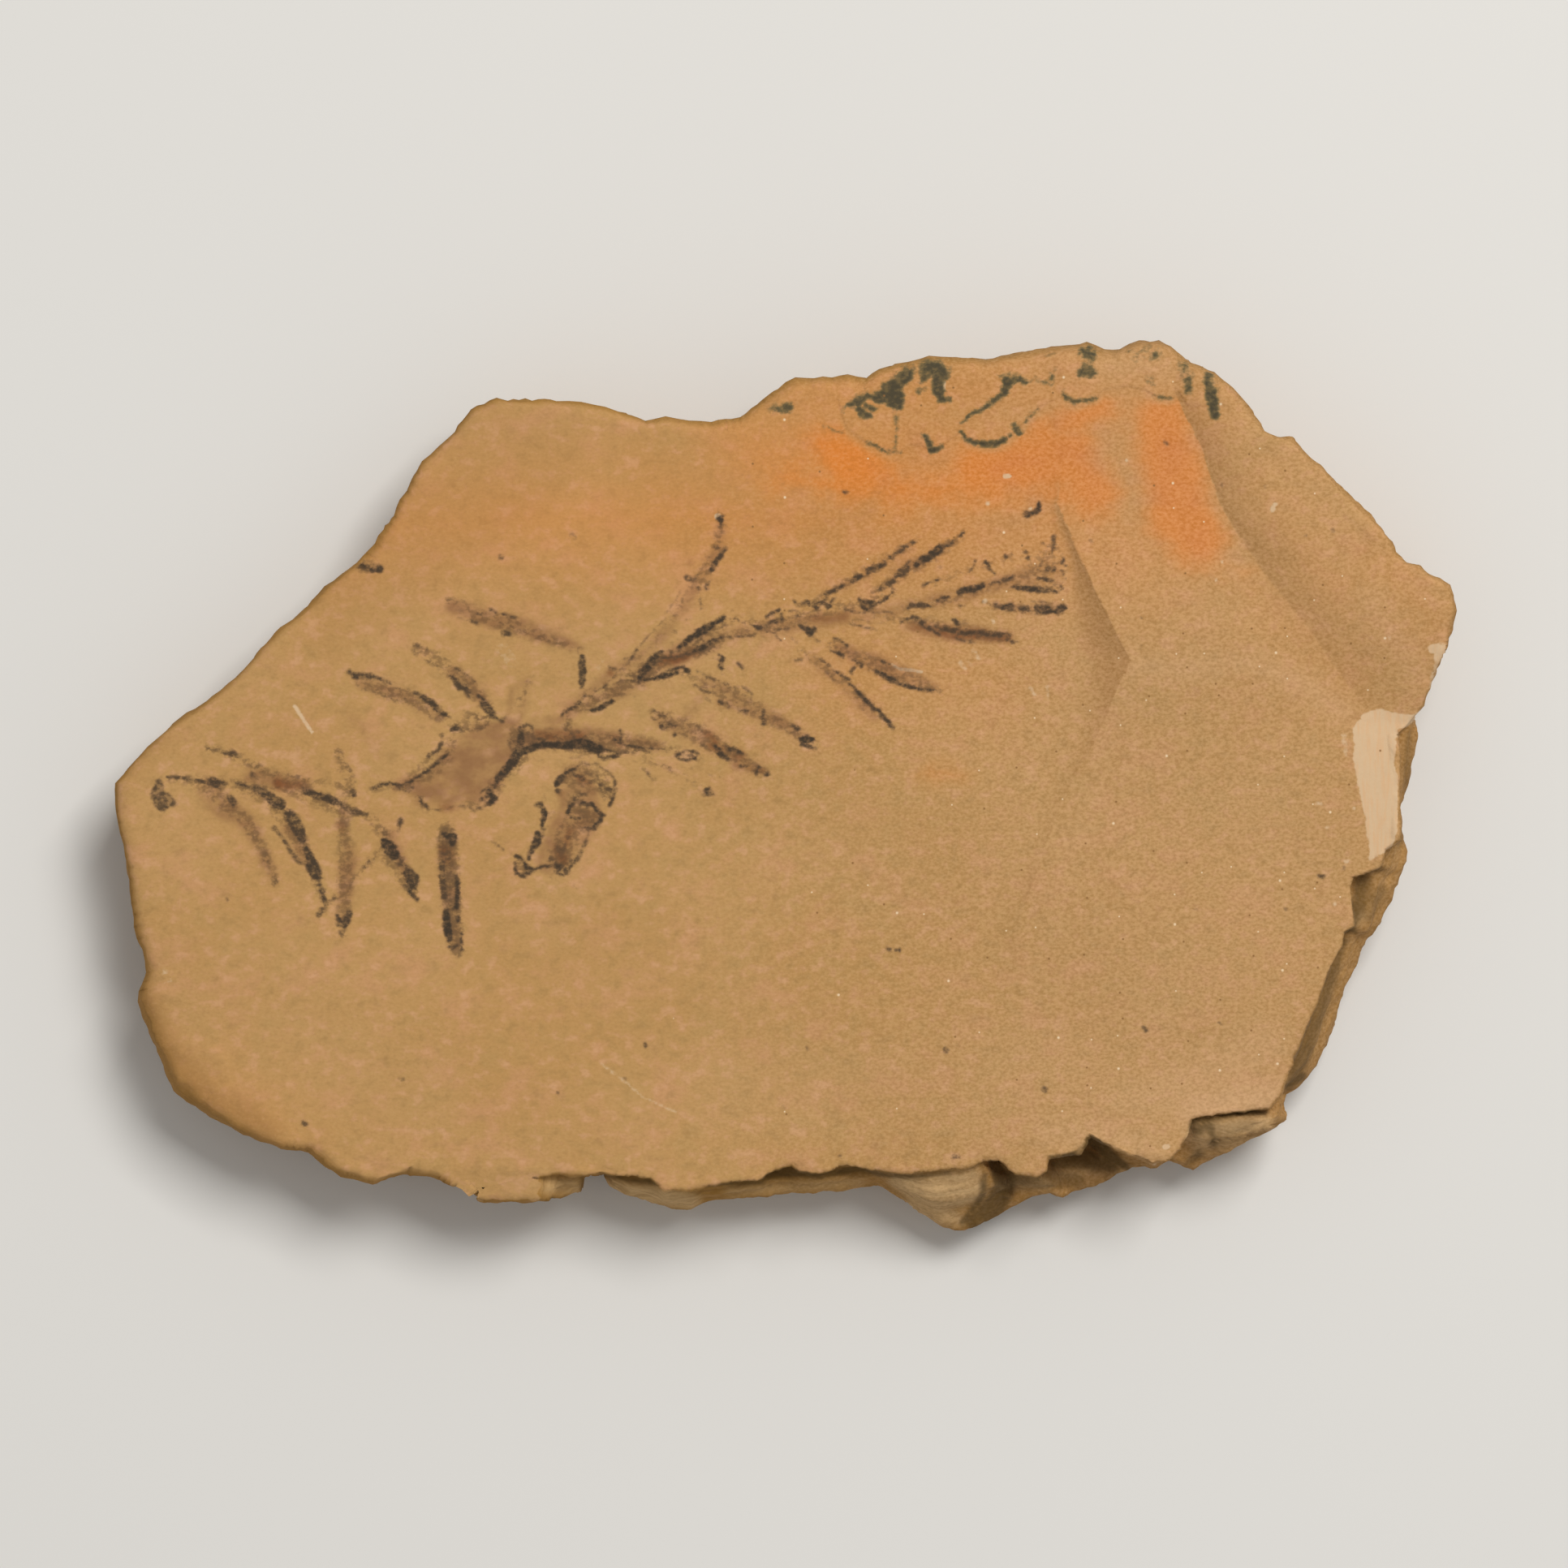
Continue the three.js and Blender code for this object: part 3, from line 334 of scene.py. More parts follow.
        (0.8, (-20.82, 6.61, 0.3), (-20.29, 6.99, 0.38), (-19.68, 7.37, 0.46), (-19.08, 7.83, 0.46)),
        (0.7, (-19.08, 7.83, 0.38), (-18.7, 8.28, 0.38), (-18.62, 8.82, 0.3)),
        (0.6, (-18.62, 8.36, 0.3), (-18.09, 8.44, 0.3), (-17.86, 8.28, 0.23)),
        (0.5, (-18.39, 8.97, 0.3), (-17.63, 9.12, 0.3)),
        (0.75, (-17.71, 8.74, 0.23), (-17.02, 9.12, 0.3), (-16.64, 9.42, 0.23)),
        (0.55, (-16.64, 9.42, 0.23), (-16.26, 9.88, 0.23), (-15.66, 10.49, 0.23), (-15.12, 11.02, 0.23),
         (-14.59, 11.55, 0.3)),
        (0.7, (-14.59, 11.55, 0.3), (-14.14, 12.16, 0.46), (-13.76, 12.69, 0.38)),
        (0.5, (-15.05, 11.86, 0.3), (-14.44, 12.01, 0.3)),
        (0.55, (-13.68, 12.84, 0.3), (-13.38, 13.3, 0.38), (-13, 13.6, 0.38), (-12.77, 13.91, 0.3)),
        (0.4, (-12.77, 13.91, 0.23), (-12.16, 14.59, 0.23), (-11.55, 15.2, 0.23), (-11.1, 15.81, 0.23)),
        (0.65, (-16.26, 10.94, 0.46), (-15.81, 10.87, 0.38)),
        (0.45, (-16.57, 11.55, 0.3), (-16.42, 11.25, 0.3)),
        (0.97, (-18.01, 6.99, 0.38), (-17.4, 7.22, 0.53), (-16.8, 7.52, 0.61), (-16.04, 7.9, 0.46)),
        (0.45, (-19, 7.14, 0.3), (-18.39, 6.99, 0.3), (-17.94, 6.99, 0.3)),
        (0.45, (-17.02, 8.21, 0.23), (-16.42, 8.44, 0.23), (-15.66, 8.44, 0.23), (-14.9, 8.59, 0.3),
         (-13.98, 8.36, 0.23)),
        (0.4, (-17.02, 8.97, 0.38), (-16.11, 9.2, 0.38), (-15.35, 9.27, 0.3)),
        (0.45, (-15.96, 9.58, 0.3), (-15.2, 9.88, 0.3), (-14.29, 9.8, 0.38)),
        (0.6, (-14.44, 9.88, 0.38), (-13.83, 9.8, 0.53), (-13.38, 9.88, 0.46)),
        (0.5, (-14.59, 10.26, 0.3), (-13.98, 10.26, 0.38)),
        (0.9, (-13.68, 9.73, 0.38), (-12.92, 9.88, 0.38), (-12.01, 10.03, 0.46)),
        (0.98, (-12.01, 10.03, 0.46), (-11.4, 10.26, 0.61), (-10.72, 10.41, 0.46), (-10.03, 10.56, 0.38)),
        (0.9, (-11.4, 10.56, 0.3), (-10.49, 10.79, 0.3), (-9.88, 11.02, 0.38), (-9.35, 11.02, 0.46)),
        (0.95, (-9.35, 11.02, 0.46), (-8.97, 10.64, 0.53)),
        (0.55, (-12.62, 10.34, 0.38), (-11.86, 10.49, 0.3)),
        (0.97, (-13.53, 10.03, 0.46), (-13.3, 10.56, 0.68), (-12.84, 11.02, 0.84)),
        (0.85, (-12.84, 11.02, 0.84), (-12.39, 11.55, 0.9), (-11.93, 12.08, 0.76)),
        (0.95, (-12.69, 11.4, 0.38), (-12.16, 12.01, 0.46), (-11.7, 12.46, 0.46), (-11.4, 12.54, 0.3)),
        (0.7, (-11.7, 11.63, 0.38), (-11.4, 11.93, 0.38), (-10.94, 12.01, 0.3)),
        (0.75, (-10.94, 12.01, 0.3), (-10.26, 12.01, 0.38), (-9.58, 12.24, 0.38), (-8.82, 12.39, 0.38),
         (-8.36, 12.54, 0.38)),
        (0.7, (-10.64, 12.46, 0.3), (-9.88, 12.62, 0.3)),
        (0.92, (-8.36, 12.62, 0.46), (-7.9, 12.84, 0.76), (-7.37, 13.15, 0.76)),
        (0.85, (-7.37, 13.15, 0.53), (-6.69, 13.53, 0.53), (-5.93, 13.83, 0.38)),
        (0.7, (-5.93, 13.83, 0.3), (-5.17, 13.91, 0.23), (-4.1, 13.91, 0.23), (-2.74, 14.06, 0.23)),
        (0.55, (-7.9, 12.31, 0.38), (-6.99, 12.62, 0.38), (-6.54, 13, 0.38)),
        (0.97, (-9.8, 13, 0.46), (-9.27, 13.38, 0.61), (-8.82, 13.76, 0.68), (-8.28, 14.06, 0.76)),
        (0.97, (-8.28, 14.06, 0.76), (-7.75, 14.44, 0.84), (-7.22, 14.74, 0.84), (-6.69, 15.12, 0.61)),
        (0.95, (-6.69, 15.12, 0.53), (-6.16, 15.43, 0.61), (-5.62, 15.66, 0.46)),
        (0.5, (-8.82, 13.15, 0.3), (-8.21, 13.53, 0.38), (-7.45, 13.91, 0.3)),
        (0.45, (-6.54, 14.44, 0.3), (-5.93, 14.74, 0.3), (-5.47, 15.12, 0.3)),
        (0.45, (-10.26, 14.44, 0.38), (-10.03, 14.14, 0.38)),
        (0.35, (-9.88, 13.76, 0.3), (-10.49, 13.38, 0.3)),
        (0.4, (-9.12, 15.5, 0.3), (-8.82, 15.58, 0.3)),
        (0.55, (-5.17, 15.5, 0.3), (-4.56, 15.66, 0.3), (-3.65, 15.2, 0.3)),
        (0.85, (-3.04, 15.05, 0.3), (-2.36, 14.74, 0.46), (-1.75, 14.97, 0.46), (-1.06, 15.28, 0.53),
         (-0.3, 15.58, 0.53)),
        (0.6, (-2.13, 14.21, 0.23), (-1.22, 14.44, 0.3), (-0.61, 14.06, 0.3)),
        (0.4, (-5.78, 15.35, 0.23), (-4.64, 15.58, 0.23), (-3.65, 15.2, 0.23)),
        (0.5, (-10.41, 14.21, 0.38), (-10.11, 14.36, 0.3)),
        (0.45, (-4.86, 16.34, 0.23), (-4.71, 16.42, 0.23)),
        (0.6, (-0.08, 15.43, 0.3), (0.68, 15.66, 0.3), (1.44, 15.96, 0.38)),
        (0.85, (-1.67, 15.81, 0.38), (-1.14, 16.11, 0.46), (-0.53, 16.42, 0.46)),
        (0.8, (-0.23, 16.04, 0.38), (-0.15, 15.66, 0.3)),
        (0.6, (-1.14, 14.44, 0.23), (-0.3, 14.67, 0.3), (0.68, 14.74, 0.23)),
        (0.7, (-0.84, 14.14, 0.23), (-0.3, 13.6, 0.23)),
        (0.55, (0.68, 13.91, 0.23), (1.14, 13.38, 0.23)),
        (0.75, (0.91, 17.25, 0.3), (1.37, 16.87, 0.46), (2.2, 17.18, 0.53), (3.04, 16.72, 0.68),
         (3.72, 17.33, 0.53), (4.18, 16.72, 0.53), (4.71, 17.48, 0.46)),
        (0.6, (1.37, 16.34, 0.3), (0.53, 16.34, 0.3)),
        (0.97, (1.52, 14.97, 0.38), (2.13, 14.67, 0.61), (2.43, 14.36, 0.84), (2.81, 14.59, 0.61)),
        (0.7, (2.81, 13.83, 0.3), (3.19, 13.53, 0.38)),
    ],
    "upper_right_needles": [
        (0.8, (3.9, 17.82, 0.55), (4.6, 18.22, 0.45), (5.1, 18.42, 0.4), (5.5, 18.72, 0.4)),
        (0.85, (6.4, 19.12, 0.6), (6.8, 19.42, 0.7), (7.3, 19.72, 0.4)),
        (0.8, (7.8, 20.02, 0.6), (8.3, 20.32, 0.75), (8.9, 20.52, 0.7), (9.4, 20.82, 0.55)),
        (0.7, (10, 21.42, 0.55), (10.6, 21.72, 0.55), (11.1, 22.22, 0.55), (11.7, 22.52, 0.45),
         (12.3, 22.92, 0.4)),
        (0.75, (9, 18.42, 0.45), (9.6, 18.72, 0.6), (10.2, 19.12, 0.6)),
        (0.75, (10.6, 19.72, 0.75), (11.1, 20.02, 0.9), (11.6, 20.42, 0.7), (11.7, 21.02, 0.4)),
        (0.9, (12.3, 20.62, 0.55), (12.8, 21.02, 0.75), (13.4, 21.32, 0.85), (14, 21.72, 0.85),
         (14.6, 22.22, 0.85), (15.1, 22.52, 0.6), (15.7, 22.82, 0.45)),
        (0.85, (16.48, 23.32, 0.3), (16.78, 23.62, 0.4)),
        (0.85, (7.1, 17.42, 0.45), (7.5, 16.82, 0.9), (8.3, 17.02, 0.9), (7.9, 16.52, 0.75)),
        (0.8, (8.9, 17.22, 0.45), (9.6, 17.52, 0.4), (10, 18.02, 0.3), (10.3, 18.42, 0.3)),
        (0.6, (5.6, 16.52, 0.3), (7.1, 16.22, 0.4), (8.7, 16.22, 0.3), (10, 16.22, 0.3)),
        (0.6, (6.15, 15.12, 0.25), (7.25, 14.92, 0.4), (8.65, 14.62, 0.25)),
        (0.8, (11.6, 16.72, 0.45), (12, 16.92, 0.55), (12.8, 16.92, 0.55), (13.6, 16.82, 0.4)),
        (0.85, (14.4, 17.32, 0.45), (14.9, 17.52, 0.7), (15.4, 17.62, 0.45)),
        (0.95, (16.38, 18.12, 0.6), (17.08, 18.32, 0.75), (17.88, 18.42, 0.7), (18.58, 18.72, 0.6)),
        (0.75, (19.38, 18.92, 0.45), (20.18, 19.12, 0.4), (20.88, 19.32, 0.45), (21.48, 19.62, 0.4)),
        (0.6, (16.48, 16.82, 0.45), (16.98, 16.82, 0.3)),
        (0.8, (13.1, 18.72, 0.4), (13.6, 19.02, 0.3), (14.4, 19.22, 0.45)),
        (0.6, (17.88, 21.02, 0.45), (17.68, 20.32, 0.4), (17.08, 19.92, 0.25)),
        (0.85, (18.88, 20.92, 0.4), (19.28, 20.32, 0.45), (19.68, 19.82, 0.3)),
        (0.5, (14.6, 20.42, 0.3), (14.7, 20.32, 0.3)),
        (0.9, (21.48, 18.62, 0.3), (22.08, 18.52, 0.55), (22.78, 18.42, 0.6), (23.98, 18.32, 0.55),
         (24.88, 18.22, 0.4), (25.58, 18.12, 0.25), (26.08, 18.42, 0.3)),
    ],
    "right_end": [
        (0.7, (20.78, 21.52, 0.45), (20.78, 21.42, 0.45)),
        (0.7, (22.58, 21.92, 0.4), (22.68, 21.82, 0.4)),
        (0.8, (22.78, 21.32, 0.4), (22.88, 21.32, 0.4)),
        (0.5, (21.28, 21.82, 0.3), (21.38, 21.72, 0.3)),
        (0.75, (25.28, 23.22, 0.6), (25.28, 22.42, 0.4), (25.08, 21.92, 0.4)),
        (0.6, (24.28, 22.72, 0.4), (24.68, 22.42, 0.3)),
        (0.6, (23.98, 20.62, 0.4), (24.28, 21.02, 0.3)),
        (0.7, (23.78, 20.12, 0.4), (23.88, 20.02, 0.4)),
        (0.8, (24.68, 20.32, 0.6), (25.28, 20.32, 0.55)),
        (0.75, (26.18, 21.22, 0.3), (26.08, 20.82, 0.4), (26.38, 20.52, 0.3)),
        (0.6, (25.98, 20.02, 0.4), (26.38, 19.42, 0.3)),
        (0.85, (23.78, 19.42, 0.3), (24.28, 19.32, 0.4), (24.98, 19.22, 0.55)),
        (0.75, (25.88, 18.72, 0.3), (26.08, 18.42, 0.3)),
        (0.6, (18.58, 17.22, 0.25), (19.78, 16.82, 0.3)),
        (0.95, (19.88, 16.82, 0.45), (20.48, 16.72, 0.6), (21.28, 16.72, 0.7)),
        (0.85, (22.08, 16.52, 0.45), (22.78, 16.52, 0.6)),
        (0.9, (23.78, 16.52, 0.9), (24.68, 16.42, 0.85), (25.28, 16.32, 0.45)),
        (0.95, (25.58, 16.32, 0.75), (26.08, 16.72, 0.7), (26.38, 16.72, 0.45)),
        (0.6, (23.18, 17.22, 0.25), (25.08, 17.12, 0.3)),
    ],
    "lower_right_needles": [
        (0.75, (10.95, 15.32, 0.4), (12.05, 15.72, 0.55), (12.65, 15.52, 0.6), (13.25, 14.92, 0.55),
         (13.85, 14.62, 0.6), (14.55, 14.12, 0.3)),
        (0.5, (14.15, 15.12, 0.25), (15.25, 14.92, 0.25)),
        (0.85, (15.85, 15.52, 0.45), (16.25, 15.22, 0.6)),
        (0.5, (16.68, 15.32, 0.45), (17.08, 15.42, 0.6)),
        (0.75, (14.15, 14.82, 0.4), (15.25, 14.62, 0.55), (16.38, 14.42, 0.7), (17.48, 14.32, 0.7),
         (18.98, 14.22, 0.6), (20.18, 14.12, 0.6), (21.08, 14.02, 0.45)),
        (0.8, (17.48, 14.42, 0.25), (20.88, 14.22, 0.25)),
        (0.6, (16.25, 13.82, 0.45), (17.08, 13.52, 0.6), (17.88, 13.42, 0.45)),
        (0.75, (20.88, 13.72, 0.4), (21.38, 13.42, 0.4), (21.78, 13.52, 0.3)),
        (0.75, (4.65, 13.72, 0.4), (5.25, 13.62, 0.4), (5.95, 13.12, 0.4)),
        (0.85, (4.45, 12.62, 0.3), (5.05, 12.42, 0.4), (5.55, 12.12, 0.45)),
        (0.75, (6.55, 11.72, 0.3), (7.25, 11.22, 0.55)),
        (0.9, (8.45, 10.82, 0.4), (9.15, 10.42, 0.6), (9.95, 9.92, 0.7), (10.75, 9.62, 0.45),
         (11.85, 9.22, 0.4), (12.95, 8.92, 0.4), (13.95, 8.92, 0.3)),
        (0.6, (14.45, 8.92, 0.4), (14.55, 8.92, 0.4)),
        (0.75, (9.15, 11.62, 0.4), (9.95, 11.42, 0.3)),
        (0.6, (0.98, 11.75, 0.3), (1.58, 11.75, 0.4)),
        (0.7, (3.45, 11.82, 0.3), (4.15, 11.32, 0.3), (4.65, 10.82, 0.3), (5.35, 10.32, 0.45),
         (6.05, 9.92, 0.45)),
        (0.7, (6.35, 10.62, 0.6), (6.55, 11.02, 0.45)),
        (0.9, (6.15, 9.52, 0.3), (6.95, 8.72, 0.4), (7.25, 8.32, 0.45), (7.85, 7.82, 0.55),
         (8.25, 7.32, 0.45), (8.85, 7.02, 0.4), (9.25, 6.42, 0.45), (9.75, 6.02, 0.4),
         (10.15, 5.42, 0.45)),
        (0.5, (3.45, 11.02, 0.3), (4.15, 10.42, 0.3), (4.65, 9.92, 0.3)),
        (0.45, (7.05, 7.52, 0.25), (8.05, 6.42, 0.25)),
    ],
    "lower_middle_needles": [
        (0.6, (-8.12, 10.67, 0.25), (-7.62, 10.37, 0.3), (-6.82, 9.97, 0.4), (-6.22, 9.77, 0.4),
         (-5.42, 9.47, 0.4), (-4.72, 9.07, 0.3)),
        (0.6, (-8.52, 9.47, 0.3), (-7.82, 9.07, 0.4), (-7.32, 8.77, 0.45), (-6.62, 8.77, 0.45)),
        (0.5, (-7.32, 8.17, 0.3), (-6.62, 7.77, 0.3)),
        (0.75, (-6.12, 7.87, 0.45), (-5.42, 7.57, 0.6), (-5.12, 7.37, 0.4)),
        (0.75, (-4.22, 7.05, 0.45), (-3.42, 6.95, 0.45)),
        (0.6, (-3.9, 9.3, 0.25), (-3.6, 9, 0.4), (-3.1, 8.6, 0.4)),
        (0.8, (-1.92, 6.95, 0.55), (-2.02, 6.35, 0.4), (-1.92, 5.85, 0.55)),
        (0.8, (0.85, 5.62, 0.45), (1.25, 5.32, 0.55)),
        (0.4, (0.05, 5.22, 0.3), (0.9, 5, 0.3)),
        (1, (1.7, 4.2, 0.75), (2.1, 4.3, 0.9), (2.6, 4.3, 0.6)),
        (0.8, (1.6, 3.9, 0.45), (2.4, 3.6, 0.45), (2.9, 3.5, 0.45)),
        (0.85, (-6.12, 12.27, 0.3), (-5.72, 11.97, 0.45), (-5.92, 11.37, 0.6), (-5.82, 10.97, 0.45)),
        (0.4, (-5.92, 10.37, 0.3), (-5.92, 10.37, 0.3)),
        (0.75, (-4.32, 11.45, 0.3), (-3.92, 11.05, 0.4)),
        (0.6, (-12.12, 6.97, 0.45), (-11.62, 6.67, 0.55), (-11.12, 6.57, 0.4)),
        (0.5, (-12.12, 6.27, 0.55), (-12.02, 6.27, 0.55)),
        (0.75, (-11.52, 5.75, 0.6), (-11.42, 5.35, 0.55), (-10.82, 5.75, 0.55), (-10.22, 5.65, 0.4)),
        (0.5, (-8.92, 6.15, 0.3), (-8.12, 5.65, 0.3), (-7.72, 5.15, 0.3)),
        (0.85, (-10.32, 4.75, 0.4), (-10.22, 4.75, 0.4)),
        (0.5, (-9.22, 4.45, 0.4), (-9.02, 4.45, 0.4)),
        (0.5, (-7.72, 3.85, 0.4), (-7.32, 3.65, 0.4)),
        (0.85, (-6.42, 3.65, 0.45), (-6.12, 3.25, 0.7), (-5.82, 2.75, 0.6), (-5.32, 2.55, 0.45)),
        (0.8, (-5.32, 3.45, 0.6), (-4.72, 3.35, 0.55), (-4.22, 3.15, 0.45), (-3.82, 3.05, 0.3)),
        (0.7, (-4.02, 1.85, 0.4), (-3.52, 1.75, 0.4)),
        (0.75, (-2.92, 1.45, 0.45), (-2.62, 1.15, 0.45), (-2.32, 1.75, 0.4)),
        (0.85, (-1.72, 1.05, 0.6), (-1.62, 1.05, 0.6)),
        (0.85, (-7.1, -0.5, 0.75), (-7, -0.7, 0.75)),
    ],
    "specks": [
        (0.9, (-39.4, 20.4, 1.05), (-37.8, 20.3, 0.75)),
        (0.6, (-26.5, 21.4, 0.6), (-26.4, 21.3, 0.6)),
        (0.5, (-19.8, 23.4, 0.6), (-19.7, 23.3, 0.6)),
        (0.8, (-13, -24.2, 0.4), (-13, -24.4, 0.4)),
        (0.7, (15.1, -24.7, 0.55), (15.2, -24.8, 0.55)),
        (0.5, (2.1, -24.6, 0.45), (2.1, -24.7, 0.45)),
        (0.85, (9.7, -15.2, 0.4), (9.9, -15.3, 0.4)),
        (0.85, (10.5, -15.4, 0.4), (10.8, -15.4, 0.4)),
        (0.6, (-21.2, -28.7, 0.4), (-21.1, -28.7, 0.4)),
        (0.7, (-45, -31.6, 0.55), (-44.8, -31.7, 0.55)),
        (0.6, (-35.9, -27.4, 0.4), (-35.7, -27.5, 0.4)),
        (0.75, (24.3, -28.4, 0.55), (24.5, -28.5, 0.55)),
        (0.8, (33.7, -22.6, 0.4), (33.9, -22.9, 0.45)),
        (0.6, (40.7, -22.2, 0.3), (40.9, -22.3, 0.3)),
        (0.75, (50.1, -8.5, 0.45), (50.5, -8.6, 0.4)),
        (0.5, (38.5, -11.5, 0.3), (38.6, -11.6, 0.3)),
        (0.6, (46.9, -11.5, 0.3), (47, -11.6, 0.3)),
        (0.6, (15.9, -34.7, 0.6), (16.3, -34.8, 0.45)),
        (0.6, (5.2, -34.7, 0.45), (5.3, -34.7, 0.45)),
        (0.55, (-0.1, -30.1, 0.4), (0, -30.2, 0.4)),
        (0.6, (38.1, 2.5, 0.3), (38.2, 2.4, 0.3)),
        (0.6, (33.4, 13, 0.3), (33.4, 12.9, 0.3)),
        (0.6, (33.4, 15.7, 0.3), (33.4, 15.6, 0.3)),
        (0.6, (28.7, 22.9, 0.4), (28.7, 22.8, 0.4)),
        (0.6, (51.2, 23.9, 0.4), (51.3, 23.8, 0.4)),
        (0.6, (48.7, 23.4, 0.3), (48.8, 23.3, 0.3)),
        (0.6, (41, 28.2, 0.3), (41, 28.1, 0.3)),
        (0.6, (44.9, 27.9, 0.3), (45, 27.8, 0.3)),
        (0.6, (35.6, 32.1, 0.45), (35.8, 32, 0.45)),
        (0.7, (5.6, 27.5, 0.45), (5.9, 27.4, 0.45)),
        (0.95, (23.9, 26.4, 0.45), (23.8, 25.9, 0.7), (23.3, 25.5, 0.55), (22.7, 25.4, 0.7)),
        (0.6, (-6.2, 25.7, 0.3), (-6.2, 25.5, 0.3)),
        (0.6, (-52.2, -10.6, 0.3), (-52.1, -10.7, 0.3)),
        (0.6, (-13.1, -24.2, 0.38), (-13.1, -24.3, 0.38)),
        (0.6, (-14.9, -27.4, 0.3), (-14.8, -27.5, 0.3)),
        (0.5, (10, -15.4, 0.3), (10, -15.5, 0.3)),
        (0.55, (52.4, -7.6, 0.3), (52.4, -7.8, 0.3)),
        (0.8, (50, -8.5, 0.3), (50.5, -8.5, 0.38)),
    ],
}
